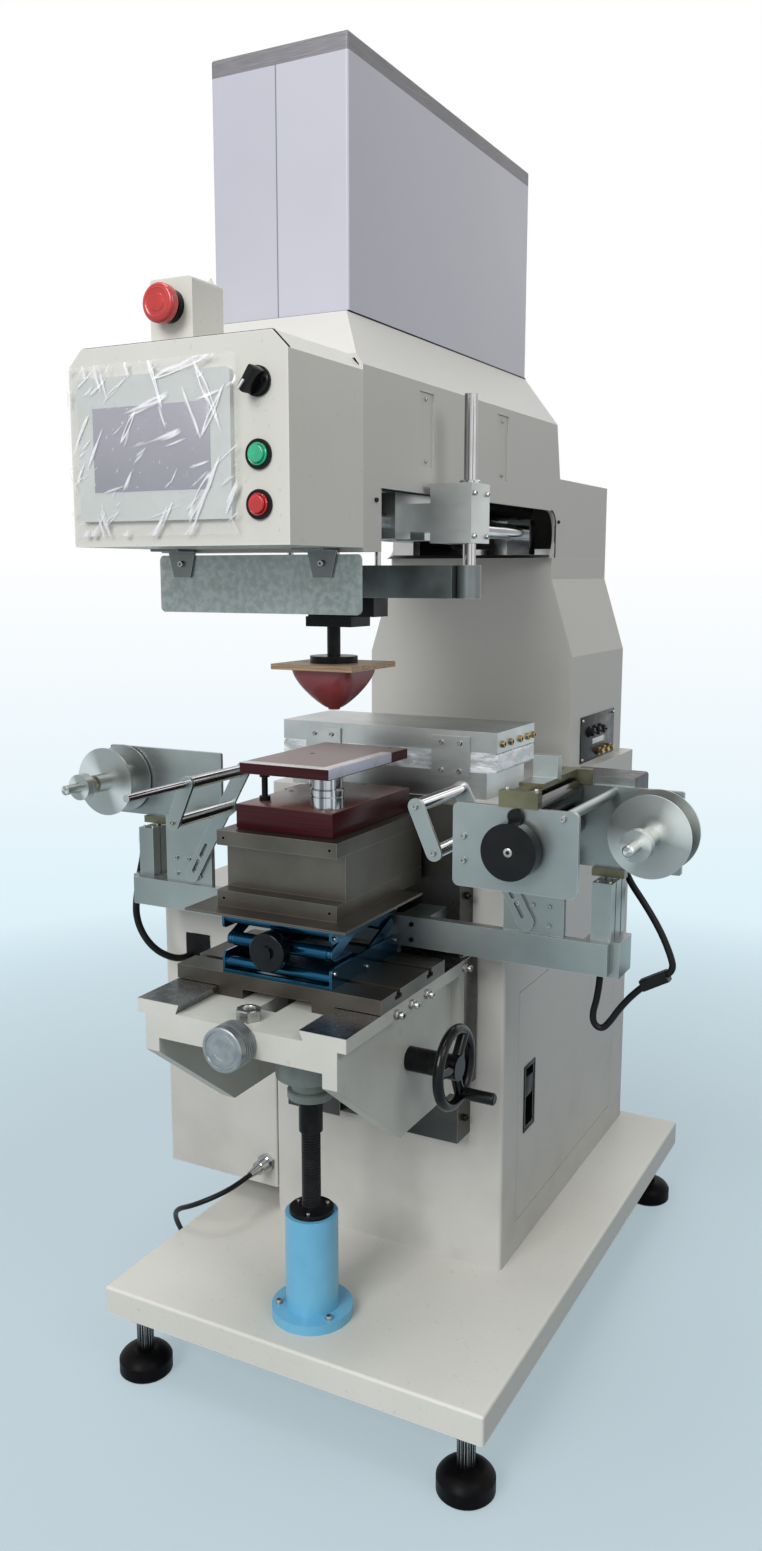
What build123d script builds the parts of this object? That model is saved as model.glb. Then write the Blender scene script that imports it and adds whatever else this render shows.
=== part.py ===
from build123d import *

import math
import os

# Floor-standing pad stamping machine with a knee table, a lab jack and two film reels.
# Working datum while modelling: X = 0 on the centre plane, Y = 0 on the front edge of the
# base plate, Z = 0 on its top. Every solid is moved to the machine's own frame on export.

# Clearances
slide_gap = 0.3
shaft_gap = 0.05
link_gap = 0.3
seat_gap = 0.3

# Base plate and feet
base_width = 582.0
base_depth = 903.0
base_thickness = 40.0
base_wall = 10.0
base_deck = 12.0
base_edge_radius = 4.0
corner_pad = 76.0
foot_height = 100.0
foot_pad_radius = 38.0
foot_pad_height = 36.0
foot_inset = 38.5
foot_stud_radius = 12.0
foot_nut_flats = 36.0
foot_nut_height = 18.0

# Lower cabinet and its door
cabinet_half_width = 190.0
cabinet_front = 296.0
cabinet_depth = 591.0
cabinet_height = 690.0
cabinet_wall = 5.0
cabinet_corner = 6.0
door_front = 354.0
door_width = 455.0
door_bottom = 50.0
door_height = 353.0
door_gap = 1.2
door_pin_inset = 4.0
door_pin_radius = 1.5
door_pin_length = 8.0
grip_width = 38.0
grip_height = 97.0
grip_from_front = 26.0
grip_from_bottom = 132.0
grip_depth = 16.0

# Pillar
pillar_front = 585.0
pillar_depth = 265.0
pillar_foot_half_width = 176.0
pillar_straight = 180.0
pillar_taper = 119.0
pillar_wall = 6.0

# Head housing
head_half_width = 139.0
head_front = -19.0
head_bottom = 1021.0
head_side_top = 1220.0
head_rear_top = 1141.0
head_roof = 1288.0
head_roof_half_width = 91.0
head_roof_front = 30.0
head_roof_rear = 580.0
head_slope_foot = 613.0
head_wall = 5.0
window_front = 24.0
window_length = 572.0
window_height = 71.0
louvre_width = 40.0
louvre_bottom = 1122.0
louvre_height = 88.0
louvre_front = 120.0
louvre_pitch = 240.0
louvre_depth = 2.0

# Panel box and what it carries
panel_depth = 151.0
panel_top = 1232.0
panel_chamfer = 18.5
screen_left = -124.0
screen_width = 198.0
screen_bottom = 1051.5
screen_height = 148.5
screen_thickness = 6.0
knob_column = 104.0
selector_level = 1184.0
green_level = 1114.0
red_level = 1065.0
bezel_radius = 15.0
bezel_height = 3.0
button_radius = 11.0
button_height = 5.0
button_travel = 3.5
selector_length = 18.0
estop_width = 54.0
estop_front = -148.0
estop_depth = 55.0
estop_height = 60.0
estop_radius = 20.0
estop_travel = 5.0

# Top cover
cover_front = 36.0
cover_length = 544.0
cover_height = 293.0
cover_wall = 3.0
cover_corner = 3.0

# Column guide
guide_half_width = 140.0
guide_thickness = 44.0
guide_bottom = 205.0
groove_mouth = 50.0
groove_flare = 10.0
groove_depth = 16.0

# Lift post, screw and gear housing
post_y = 87.0
post_flange_radius = 55.5
post_flange_height = 14.0
post_radius = 36.0
post_height = 149.0
post_bore = 14.0
post_cap_radius = 30.0
post_cap_height = 6.0
screw_radius = 12.0
screw_bottom = 45.0
collar_radius = 16.0
collar_bottom = 265.0
collar_height = 48.0
housing_radius = 46.0
housing_height = 86.0
housing_neck = 26.0

# Knee
knee_half_width = 137.0
knee_front = -79.0
knee_top = 477.0
knee_slab_half_width = 149.0
knee_slab = 18.0
knee_deck = 47.0
knee_nose = 65.0
knee_gusset_bottom = 288.0
knee_gusset_front = 80.0
knee_gusset = 20.0
knee_back_wall = 20.0
cheek_reach = 20.0
way_floor = 12.0
way_half_mouth = 86.0
way_flare = 5.0
feed_axis_drop = 30.0
feed_screw_radius = 6.0
feed_knob_radius = 28.0
feed_knob_length = 33.0

# Handwheel
wheel_y = 105.3
wheel_z = 385.6
wheel_x = 200.0
wheel_radius = 55.0
wheel_rim = 7.0
wheel_hub = 16.0
wheel_spoke = 7.0
wheel_shaft = 8.0
crank_angle = 67.5
crank_reach = 42.5
crank_radius = 8.0
crank_length = 42.0

# Cross table
table_half_width = 150.0
table_front = 4.0
table_depth = 178.0
table_lift = 1.0
table_thickness = 18.5
leg_left_inner = -49.0
leg_right_inner = 53.0
slot_width = 10.0
slot_undercut = 18.0
slot_lip = 5.0
slot_root = 6.0

# Lab jack
jack_half_width = 80.0
jack_front = 7.0
jack_depth = 175.0
jack_plate = 4.0
jack_side = 3.0
jack_flange = 26.0
jack_height = 83.0
jack_pivot_rise = 12.0
jack_bar_radius = 9.0
jack_pin_radius = 4.0
jack_link_width = 15.0
jack_link_thickness = 4.0
jack_spread = 74.0
jack_tube_radius = 7.0
jack_tube_gap = 1.5
jack_screw_radius = 5.0
jack_knob_radius = 25.0
jack_knob_length = 18.0

# Riser and fixture
shim_half_width = 115.5
shim_thickness = 3.0
riser_half_width = 87.0
riser_front = 8.0
riser_depth = 232.0
riser_foot = 20.5
riser_body_inset = 23.0
riser_body_height = 57.5
riser_cap = 19.0
block_half_width = 70.5
block_front = 28.0
block_depth = 209.0
block_height = 32.0
post_span = 39.0
fixture_post_radius = 20.0
fixture_half_width = 65.0
fixture_thickness = 13.4

# Hot plate
hot_half_width = 171.0
hot_front = 301.0
hot_depth = 138.0
hot_block_half_width = 156.0
hot_block_height = 37.5
wrap_height = 28.2
hot_thickness = 28.5
bracket_inner = 73.0
bracket_width = 58.0
bracket_height = 56.0
bracket_thickness = 3.0

# Carriage inside the head
rail_x = 100.0
rail_radius = 12.0
rail_above_bottom = 37.0
rail_front = 10.0
rail_length = 560.0
rail_block = 40.0
carriage_y = 155.0
carriage_travel = 215.0
carriage_plate = 14.0
carriage_half_length = 60.0
bearing_radius = 20.0
pad_cylinder_radius = 32.0
pad_cylinder_bore = 25.0
pad_cylinder_height = 300.0
drive_cylinder_radius = 26.0
drive_cylinder_length = 330.0
drive_rod_radius = 8.0

# Pad head
pad_tip = 822.0
pad_half_width = 43.5
pad_height = 54.0
board_half_width = 60.0
board_thickness = 7.0
flange_radius = 31.0
flange_thickness = 9.0
stem_radius = 8.7
stem_length = 38.0
clamp_height = 13.0
head_block_height = 24.0
cross_bar_height = 40.0
cross_bar_depth = 40.0
guide_rod_x = 190.0
guide_rod_radius = 7.75
guide_rod_length = 240.0
twin_rod_x = 64.5
twin_rod_radius = 3.8
guide_block_inner = 150.0
guide_block_width = 54.0
guide_block_bottom = 1033.0
guide_block_height = 66.0
pad_travel = 36.0

# Deflector plate
deflector_half_width = 138.5
deflector_bottom = 951.0
deflector_height = 67.0
deflector_thickness = 3.0
deflector_y = -20.0

# Reel beam and lift cylinders
beam_half_length = 368.0
beam_front = 185.0
beam_thickness = 14.0
beam_bottom = 506.0
beam_height = 41.0
beam_spacer_x = 100.0
beam_spacer_width = 40.0
lift_x = 354.0
lift_y = 229.0
lift_width = 26.0
lift_depth = 58.0
lift_body = 73.0
lift_rod_radius = 5.0
lift_foot = 10.0
lift_travel = 12.0

# Film plates, reels and rollers
film_plate_bottom = 633.0
film_plate_height = 104.0
film_plate_inner = 237.0
film_plate_outer = 443.0
film_plate_back = 237.0
film_plate_thickness = 6.0
film_front_plate_inner = 222.0
film_front_plate_width = 152.0
film_front_plate_y = 45.0
film_corner = 8.0
tie_rod_radius = 6.0
reel_x = 415.0
reel_z = 688.0
reel_radius = 51.0
reel_front = 182.0
reel_width = 46.0
reel_hub_radius = 24.0
reel_shaft_radius = 7.0
reel_shaft_tip = 95.0
reel_collar_radius = 19.0
reel_collar_y = 125.0
reel_collar_length = 15.0
drive_x = 301.0
roller_z = 690.0
drive_radius = 20.0
pinch_radius = 17.0
roller_shaft_radius = 5.0
roller_gap = 0.4
drive_knob_radius = 33.0
drive_knob_length = 18.0
motor_inner = 288.0
motor_width = 92.0
motor_depth = 62.0
motor_bottom = 664.0
motor_height = 84.0

# Guide plates, arms and guide bars
guide_plate_inner = 228.0
guide_plate_width = 81.0
guide_plate_height = 100.0
guide_plate_thickness = 8.0
arm_thickness = 5.0
arm_width = 22.0
link_arm_width = 20.0
upper_bar_x = 168.0
upper_bar_z = 724.0
lower_bar_x = 192.0
lower_bar_z = 670.0
arm_foot_x = 260.0
arm_foot_z = 552.0
guide_bar_radius = 8.5
bar_front = 61.0
long_bar_radius = 5.0
long_bar_reach = 121.0

# Switch box, gland, cables and hose
box_left = -398.0
box_width = 202.0
box_bottom = 36.0
box_height = 464.0
box_depth = 230.0
box_wall = 3.0
inlet_proud = 2.0
inlet_width = 46.0
inlet_height = 48.0
inlet_left = -356.0
inlet_bottom = 385.0
gland_x = -209.0
gland_z = 75.0
gland_radius = 13.0
gland_length = 26.0
cord_radius = 4.0
hose_radius = 5.5
cable_radius = 4.5

# Where the machine's own frame has its origin: on the floor, in the middle of its footprint
selector_tip = head_front - panel_depth - bezel_height - selector_length - screen_thickness
frame_y = (base_depth + selector_tip) / 2
floor_level = -(base_thickness + foot_height)
to_frame = Pos(0, -frame_y, -floor_level)

os.makedirs("parts", exist_ok=True)


def keep(name, *solids):
    """Write one named piece, or a group of like pieces, in the machine's own frame."""
    moved = [to_frame * solid for piece in solids for solid in piece.solids()]
    export_step(moved[0] if len(moved) == 1 else Compound(children=moved), f"parts/{name}.step")


def block(x, y, z):
    """A block between a low and a high limit along each axis."""
    size = [high - low for low, high in (x, y, z)]
    middle = [(high + low) / 2 for low, high in (x, y, z)]
    return Pos(*middle) * Box(*size)


def rounded(x, y, z, radius, axis=Axis.Z):
    """A block whose edges along one axis are rounded."""
    body = block(x, y, z)
    return fillet(body.edges().filter_by(axis), radius)


def rod(start, end, radius):
    """A round bar from one point to another."""
    start, end = Vector(*start), Vector(*end)
    plane = Plane(origin=start, z_dir=end - start)
    return extrude(plane * Circle(radius), (end - start).length)


def ring(start, end, radius, bore):
    """A round bar with a bore along it."""
    return rod(start, end, radius) - rod(start, end, bore)


def side_profile(points, x_low, x_high):
    """A (y, z) outline carried across the machine."""
    face = make_face(Plane.YZ * Polyline(*points, close=True))
    return Pos(x_low, 0, 0) * extrude(face, x_high - x_low, dir=(1, 0, 0))


def front_profile(points, y_low, y_high):
    """An (x, z) outline carried backwards."""
    outline = Polyline(*[(x, 0, z) for x, z in points], close=True)
    return Pos(0, y_low, 0) * extrude(make_face(outline), y_high - y_low, dir=(0, 1, 0))


def plan_profile(points, z_low, z_high):
    """An (x, y) outline carried upwards."""
    return Pos(0, 0, z_low) * extrude(make_face(Polyline(*points, close=True)), z_high - z_low)


def mirrored(shape):
    """The same piece on the other side of the centre plane."""
    return mirror(shape, about=Plane.YZ)


def hexagon(centre, flats, height, normal=(0, 0, 1)):
    """A nut body standing on a point."""
    plane = Plane(origin=centre, z_dir=normal)
    return extrude(plane * RegularPolygon(flats / 2, 6, major_radius=False), height)


# Base plate: an open-bottomed plate with a thick pad over each foot
base_half = base_width / 2
base_under = -base_thickness
foot_xs = (foot_inset - base_half, base_half - foot_inset)
foot_ys = (foot_inset, base_depth - foot_inset)
foot_places = [(x, y) for x in foot_xs for y in foot_ys]


def make_base():
    plate = block((-base_half, base_half), (0, base_depth), (base_under, 0))
    plate = fillet(plate.edges().filter_by(Axis.Z), base_edge_radius)
    plate = fillet(plate.faces().sort_by(Axis.Z)[-1].edges(), base_edge_radius)
    pocket = block((base_wall - base_half, base_half - base_wall), (base_wall, base_depth - base_wall),
                   (base_under, -base_deck))
    for x, y in foot_places:
        reach = corner_pad / 2
        pocket -= block((x - reach, x + reach), (y - reach, y + reach), (base_under, -base_deck))
    plate -= pocket
    for x, y in foot_places:
        plate -= rod((x, y, base_under), (x, y, -base_deck), foot_stud_radius + shaft_gap)
    return plate


def make_feet():
    feet = []
    for x, y in foot_places:
        low = floor_level
        shoulder = foot_pad_height * 0.6
        outline = Polyline((0, low), (foot_pad_radius - 3, low), (foot_pad_radius, low + 3),
                           (foot_pad_radius, low + shoulder))
        dome = ThreePointArc((foot_pad_radius, low + shoulder),
                             (foot_pad_radius * 0.8, low + foot_pad_height * 0.86),
                             (foot_stud_radius * 1.5, low + foot_pad_height))
        stud_top = -base_deck - 2
        stud = Polyline((foot_stud_radius * 1.5, low + foot_pad_height), (foot_stud_radius, low + foot_pad_height),
                        (foot_stud_radius, stud_top), (0, stud_top), (0, low))
        face = make_face(Plane.XZ * (outline + dome + stud))
        feet.append(Pos(x, y, 0) * revolve(face, Axis.Z))
        nut_low = base_under - foot_nut_height
        nut = hexagon((x, y, nut_low), foot_nut_flats, foot_nut_height)
        feet.append(nut - rod((x, y, nut_low), (x, y, base_under), foot_stud_radius + shaft_gap))
    return feet


keep("base_plate", make_base())
keep("levelling_feet", *make_feet())

# Lower cabinet: welded sheet box, open below, with a side door on corner pins
cabinet_rear = cabinet_front + cabinet_depth
door_rear = door_front + door_width
door_top = door_bottom + door_height
door_face = cabinet_half_width
door_axis_x = door_face - cabinet_wall / 2
door_axis_y = door_rear - door_pin_inset
head_rear = pillar_front + pillar_depth


def make_cabinet():
    shell = rounded((-cabinet_half_width, cabinet_half_width), (cabinet_front, cabinet_rear),
                    (0, cabinet_height), cabinet_corner)
    inside = cabinet_half_width - cabinet_wall
    shell -= block((-inside, inside), (cabinet_front + cabinet_wall, cabinet_rear - cabinet_wall),
                   (0, cabinet_height - cabinet_wall))
    shell -= block((inside - cabinet_wall, cabinet_half_width),
                   (door_front - door_gap, door_rear + door_gap),
                   (door_bottom - door_gap, door_top + door_gap))
    cable_half = pillar_foot_half_width / 2
    shell -= block((-cable_half, cable_half), (pillar_front + 40, head_rear - 40),
                   (cabinet_height - cabinet_wall, cabinet_height))
    for low, high in ((door_bottom - door_gap - door_pin_length, door_bottom - door_gap),
                      (door_top + door_gap, door_top + door_gap + door_pin_length)):
        shell -= rod((door_axis_x, door_axis_y, low), (door_axis_x, door_axis_y, high),
                     door_pin_radius + shaft_gap)
    return shell


def make_door():
    panel = block((door_face - cabinet_wall, door_face), (door_front, door_rear), (door_bottom, door_top))
    grip_y = door_front + grip_from_front
    grip_z = door_bottom + grip_from_bottom
    grip_in = door_face - grip_depth
    cup = rounded((grip_in, door_face), (grip_y, grip_y + grip_width), (grip_z, grip_z + grip_height),
                  4, Axis.X)
    hollow = rounded((grip_in + 2, door_face), (grip_y + 3, grip_y + grip_width - 3),
                     (grip_z + 3, grip_z + grip_height - 3), 3, Axis.X)
    panel += cup
    panel -= hollow
    reach = door_gap + door_pin_length - 1
    pin = rod((door_axis_x, door_axis_y, door_bottom - reach), (door_axis_x, door_axis_y, door_top + reach),
              door_pin_radius)
    return panel + pin


keep("lower_cabinet", make_cabinet())
keep("cabinet_door", make_door())

# Pillar: welded tube that narrows to the width of the head
taper_level = cabinet_height + pillar_straight
neck_level = taper_level + pillar_taper


def make_pillar():
    def outline(inset):
        wide = pillar_foot_half_width - inset
        narrow = head_half_width - inset
        return [(-wide, cabinet_height), (wide, cabinet_height), (wide, taper_level), (narrow, neck_level),
                (narrow, head_bottom), (-narrow, head_bottom), (-narrow, neck_level), (-wide, taper_level)]
    tube = front_profile(outline(0), pillar_front, head_rear)
    bore = front_profile(outline(pillar_wall), pillar_front + pillar_wall, head_rear - pillar_wall)
    return tube - bore


keep("pillar", make_pillar())

# Head housing: folded shell with chamfered shoulders, side windows and an open underside
window_rear = window_front + window_length
carriage_slot_front = 60.0
carriage_slot_rear = 470.0


def head_block_outline(inset):
    """Side outline of the housing, (y, z)."""
    return [(head_front, head_bottom + inset), (head_front, panel_top - inset), (head_roof_front, head_roof - inset),
            (head_roof_rear, head_roof - inset), (head_rear - inset, head_rear_top - inset),
            (head_rear - inset, head_bottom + inset)]


def shoulder_outline(inset):
    """Front outline of the housing, (x, z)."""
    half = head_half_width - inset
    roof = head_roof_half_width - inset * 0.6
    return [(-half, head_bottom), (half, head_bottom), (half, head_side_top), (roof, head_roof - inset),
            (-roof, head_roof - inset), (-half, head_side_top)]


def make_head():
    outer = side_profile(head_block_outline(0), -head_half_width, head_half_width)
    outer &= front_profile(shoulder_outline(0), head_front, head_rear)
    inner = side_profile(head_block_outline(head_wall), -head_half_width, head_half_width)
    inner &= front_profile(shoulder_outline(head_wall), head_front, head_rear - head_wall)
    shell = outer - inner
    reach = head_half_width + 1
    slope_cut = side_profile([(head_slope_foot, head_rear_top), (head_rear + 1, head_rear_top),
                              (head_rear + 1, head_roof), (head_roof_rear, head_roof)], -reach, reach)
    shell -= slope_cut
    cap = side_profile([(head_roof_rear, head_roof), (head_slope_foot, head_rear_top),
                        (head_rear, head_rear_top), (head_rear, head_rear_top - head_wall),
                        (head_slope_foot - head_wall, head_rear_top - head_wall),
                        (head_roof_rear - head_wall, head_roof - head_wall)], -reach, reach)
    shell += cap & front_profile(shoulder_outline(0), head_front, head_rear)
    window = block((-reach, reach), (window_front, window_rear), (head_bottom, head_bottom + window_height))
    window = fillet(window.edges().filter_by(Axis.X).sort_by(Axis.Y)[-2:], window_height * 0.45)
    shell -= window
    inside = head_half_width - head_wall
    shell -= block((-inside, inside), (carriage_slot_front, carriage_slot_rear),
                   (head_bottom, head_bottom + head_wall))
    cover_inside = head_roof_half_width - cover_wall - 2
    shell -= block((-cover_inside, cover_inside), (cover_front + 10, cover_front + cover_length - 14),
                   (head_roof - head_wall, head_roof))
    neck = head_half_width - pillar_wall
    shell -= block((-neck, neck), (pillar_front + pillar_wall, head_rear - pillar_wall),
                   (head_bottom, head_bottom + head_wall))
    for index in range(2):
        y = louvre_front + index * louvre_pitch
        for side in (-1, 1):
            low, high = sorted((side * head_half_width, side * (head_half_width - louvre_depth)))
            shell -= block((low, high), (y, y + louvre_width),
                           (louvre_bottom, louvre_bottom + louvre_height))
    return shell


keep("head_housing", make_head())

# Panel box with its touch screen and the black bezels of the controls
panel_front = head_front - panel_depth
panel_bottom = head_bottom + 4
control_levels = (selector_level, green_level, red_level)


def make_panel():
    half = head_half_width
    side_top = panel_top - panel_chamfer
    outline = [(-half, panel_bottom), (half, panel_bottom), (half, side_top), (half - panel_chamfer, panel_top),
               (panel_chamfer - half, panel_top), (-half, side_top)]
    body = front_profile(outline, panel_front, head_front)
    inner = half - head_wall
    inner_outline = [(-inner, panel_bottom + head_wall), (inner, panel_bottom + head_wall),
                     (inner, side_top - 2), (half - panel_chamfer - 2, panel_top - head_wall),
                     (panel_chamfer - half + 2, panel_top - head_wall), (-inner, side_top - 2)]
    body -= front_profile(inner_outline, panel_front + head_wall, head_front)
    for level in control_levels:
        body -= rod((knob_column, panel_front, level), (knob_column, panel_front + head_wall, level),
                    button_radius)
    return body


def make_bezel(level):
    front = panel_front - bezel_height
    bezel = ring((knob_column, panel_front, level), (knob_column, front, level),
                 bezel_radius, button_radius)
    barrel = ring((knob_column, panel_front, level), (knob_column, panel_front + 24, level),
                  button_radius - 0.1, button_radius - 2)
    joint = ring((knob_column, panel_front, level), (knob_column, front, level),
                 button_radius, button_radius - 2)
    return bezel + barrel + joint


screen = rounded((screen_left, screen_left + screen_width), (panel_front - screen_thickness, panel_front),
                 (screen_bottom, screen_bottom + screen_height), 5, Axis.Y)
keep("panel_box", make_panel(), screen, *[make_bezel(level) for level in control_levels])


def make_button(level):
    """A round cap on a stem that slides in its bezel."""
    radius = button_radius - 2 - shaft_gap * 2
    front = panel_front - bezel_height - button_height
    cap = rod((knob_column, front, level), (knob_column, panel_front + 18, level), radius)
    return fillet(cap.edges().sort_by(Axis.Y)[0], 1.2)


def make_selector():
    radius = button_radius - 2 - shaft_gap * 2
    front = panel_front - bezel_height
    stem = rod((knob_column, front - 6, selector_level), (knob_column, panel_front + 18, selector_level), radius)
    skirt = rod((knob_column, front - 6, selector_level), (knob_column, front - seat_gap, selector_level),
                bezel_radius - 1)
    handle = rounded((knob_column - 4, knob_column + 4), (front - selector_length - screen_thickness, front - 5),
                     (selector_level - 14, selector_level + 14), 2, Axis.Y)
    return stem + skirt + Pos(knob_column, 0, selector_level) * Rot(0, -35, 0) * Pos(
        -knob_column, 0, -selector_level) * handle


keep("green_button", make_button(green_level))
keep("red_button", make_button(red_level))
keep("selector_switch", make_selector())

# Emergency stop box on the shoulder of the panel box
estop_x = -17.0
estop_bottom = panel_top + 6
estop_rear = estop_front + estop_depth
estop_z = estop_bottom + estop_height * 0.53


def make_estop_box():
    body = rounded((estop_x - estop_width / 2, estop_x + estop_width / 2), (estop_front, estop_rear),
                   (panel_top, estop_bottom + estop_height), 4, Axis.Y)
    body -= rod((estop_x, estop_front, estop_z), (estop_x, estop_front + 30, estop_z), 11)
    collar = ring((estop_x, estop_front, estop_z), (estop_x, estop_front - 8, estop_z), 17, 9)
    sleeve = ring((estop_x, estop_front, estop_z), (estop_x, estop_front + 28, estop_z), 10.9, 9)
    gland = rod((estop_x + 17, estop_rear - 12, panel_top), (estop_x + 17, estop_rear - 12, panel_top + 1), 5)
    return [body - gland, collar + sleeve]


def make_estop_button():
    stem_end = estop_front + 24
    front = estop_front - 24
    stem = rod((estop_x, front + 8, estop_z), (estop_x, stem_end, estop_z), 9 - shaft_gap * 2)
    head = rod((estop_x, front, estop_z), (estop_x, front + 10, estop_z), estop_radius)
    head = fillet(head.edges().sort_by(Axis.Y)[0], 4)
    return head + stem


keep("estop_box", *make_estop_box())
keep("estop_button", make_estop_button())

# Top cover: tall sheet hood over the travelling pad cylinder
cover_top = head_roof + cover_height


def make_cover():
    half = head_roof_half_width
    rear = cover_front + cover_length
    hood = block((-half, half), (cover_front, rear), (head_roof, cover_top))
    hood = fillet(hood.edges().filter_by(Axis.Z) + hood.faces().sort_by(Axis.Z)[-1].edges(), cover_corner)
    inside = half - cover_wall
    hood -= block((-inside, inside), (cover_front + cover_wall, rear - cover_wall),
                  (head_roof, cover_top - cover_wall))
    return hood


keep("top_cover", make_cover())

# Column guide: bolted slide plate with a dovetail groove down its front
guide_front = cabinet_front - guide_thickness


def make_guide():
    half = guide_half_width
    plate = block((-half, half), (guide_front, cabinet_front), (guide_bottom, cabinet_height))
    flare = groove_mouth + groove_flare
    groove = plan_profile([(-groove_mouth, guide_front), (groove_mouth, guide_front),
                           (flare, guide_front + groove_depth), (-flare, guide_front + groove_depth)],
                          guide_bottom, cabinet_height)
    return plate - groove


keep("column_guide", make_guide())

# Lift post: turned post with a flange and a black cap that holds the lift nut
post_top = post_height + post_cap_height


def make_post():
    outline = [(post_bore, 0), (post_flange_radius, 0), (post_flange_radius, post_flange_height),
               (post_radius, post_flange_height), (post_radius, post_height), (post_bore, post_height)]
    face = make_face(Plane.XZ * Polyline(*outline, close=True))
    body = Pos(0, post_y, 0) * revolve(face, Axis.Z)
    cap = ring((0, post_y, post_height), (0, post_y, post_top), post_cap_radius, screw_radius + shaft_gap)
    return [body, cap]


keep("lift_post", *make_post())

# Knee casting: table slab with dovetail ways, front beam, two gussets and the rear slide
knee_back = guide_front - slide_gap
knee_under = knee_top - knee_deck
slab_under = knee_top - knee_slab
way_level = knee_top - way_floor
feed_z = knee_top - feed_axis_drop
housing_top = knee_under
housing_bottom = housing_top - housing_height


def make_knee():
    side = [(knee_front, knee_top), (knee_back, knee_top), (knee_back, knee_gusset_bottom),
            (knee_gusset_front, knee_gusset_bottom), (knee_front, knee_top - knee_nose)]
    body = side_profile(side, -knee_half_width, knee_half_width)
    inside = knee_half_width - knee_gusset
    body -= block((-inside, inside), (knee_front, knee_back - knee_back_wall),
                  (knee_gusset_bottom, knee_under))
    cheek_inner = guide_half_width + slide_gap
    slab_half = knee_slab_half_width
    body += block((-slab_half, slab_half), (knee_front, knee_back), (slab_under, knee_top))
    for side_sign in (-1, 1):
        low, high = sorted((side_sign * cheek_inner, side_sign * slab_half))
        body += block((low, high), (knee_back - 1, guide_front + cheek_reach),
                      (knee_gusset_bottom, knee_top))
        edge_low, edge_high = sorted((side_sign * (knee_half_width - 1), side_sign * slab_half))
        body += block((edge_low, edge_high), (knee_back - 20, knee_back), (knee_gusset_bottom, knee_top))
    mouth = groove_mouth - slide_gap
    flare = mouth + groove_flare
    tongue_depth = groove_depth - slide_gap * 2
    body += plan_profile([(-mouth, knee_back - 1), (mouth, knee_back - 1), (mouth, guide_front),
                          (flare - 1, guide_front + tongue_depth), (1 - flare, guide_front + tongue_depth),
                          (-mouth, guide_front)], knee_gusset_bottom, knee_top)
    flare_half = way_half_mouth + way_flare
    ways = front_profile([(-way_half_mouth, knee_top), (way_half_mouth, knee_top), (flare_half, way_level),
                          (-flare_half, way_level)], knee_front, knee_back)
    body -= ways
    body -= rod((0, knee_front, feed_z), (0, knee_back - 40, feed_z), feed_screw_radius + shaft_gap)
    nut_half = 14.0
    body -= block((-nut_half, nut_half), (table_front - 20, table_front + table_depth - 30),
                  (knee_under + 4, way_level))
    shaft_hole = wheel_shaft + shaft_gap
    body -= rod((inside - 1, wheel_y, wheel_z), (knee_half_width + 1, wheel_y, wheel_z), shaft_hole)
    return body


def make_gear_housing():
    """Closed casting under the knee around the screw and the handwheel shaft."""
    body = rod((0, post_y, housing_bottom), (0, post_y, housing_top), housing_radius)
    neck_bottom = collar_bottom + collar_height + slide_gap
    body += rod((0, post_y, neck_bottom), (0, post_y, housing_bottom), housing_neck)
    boss_end = knee_half_width - knee_gusset - slide_gap
    body += rod((0, wheel_y, wheel_z), (boss_end, wheel_y, wheel_z), wheel_shaft + 10)
    body -= rod((0, post_y, neck_bottom), (0, post_y, housing_top - 20), screw_radius + shaft_gap)
    body -= rod((screw_radius + 10, wheel_y, wheel_z), (boss_end, wheel_y, wheel_z), wheel_shaft + shaft_gap)
    return body


def make_lift_screw():
    core = rod((0, post_y, screw_bottom), (0, post_y, housing_top - 21), screw_radius)
    collar = rod((0, post_y, collar_bottom), (0, post_y, collar_bottom + collar_height), collar_radius)
    return core + collar


def make_feed_knob():
    """Fluted knob on the front of the cross-feed screw."""
    front = knee_front - feed_knob_length
    body = rod((0, front, feed_z), (0, knee_front - slide_gap, feed_z), feed_knob_radius)
    flutes = 16
    for index in range(flutes):
        angle = math.tau * index / flutes
        x = (feed_knob_radius + 1) * math.cos(angle)
        z = feed_z + (feed_knob_radius + 1) * math.sin(angle)
        body -= rod((x, front, z), (x, knee_front, z), 3)
    screw = rod((0, front, feed_z), (0, knee_back - 50, feed_z), feed_screw_radius)
    return body + screw


keep("knee_casting", make_knee(), make_gear_housing())
keep("lift_screw", make_lift_screw())
keep("feed_knob", make_feed_knob())

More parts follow.
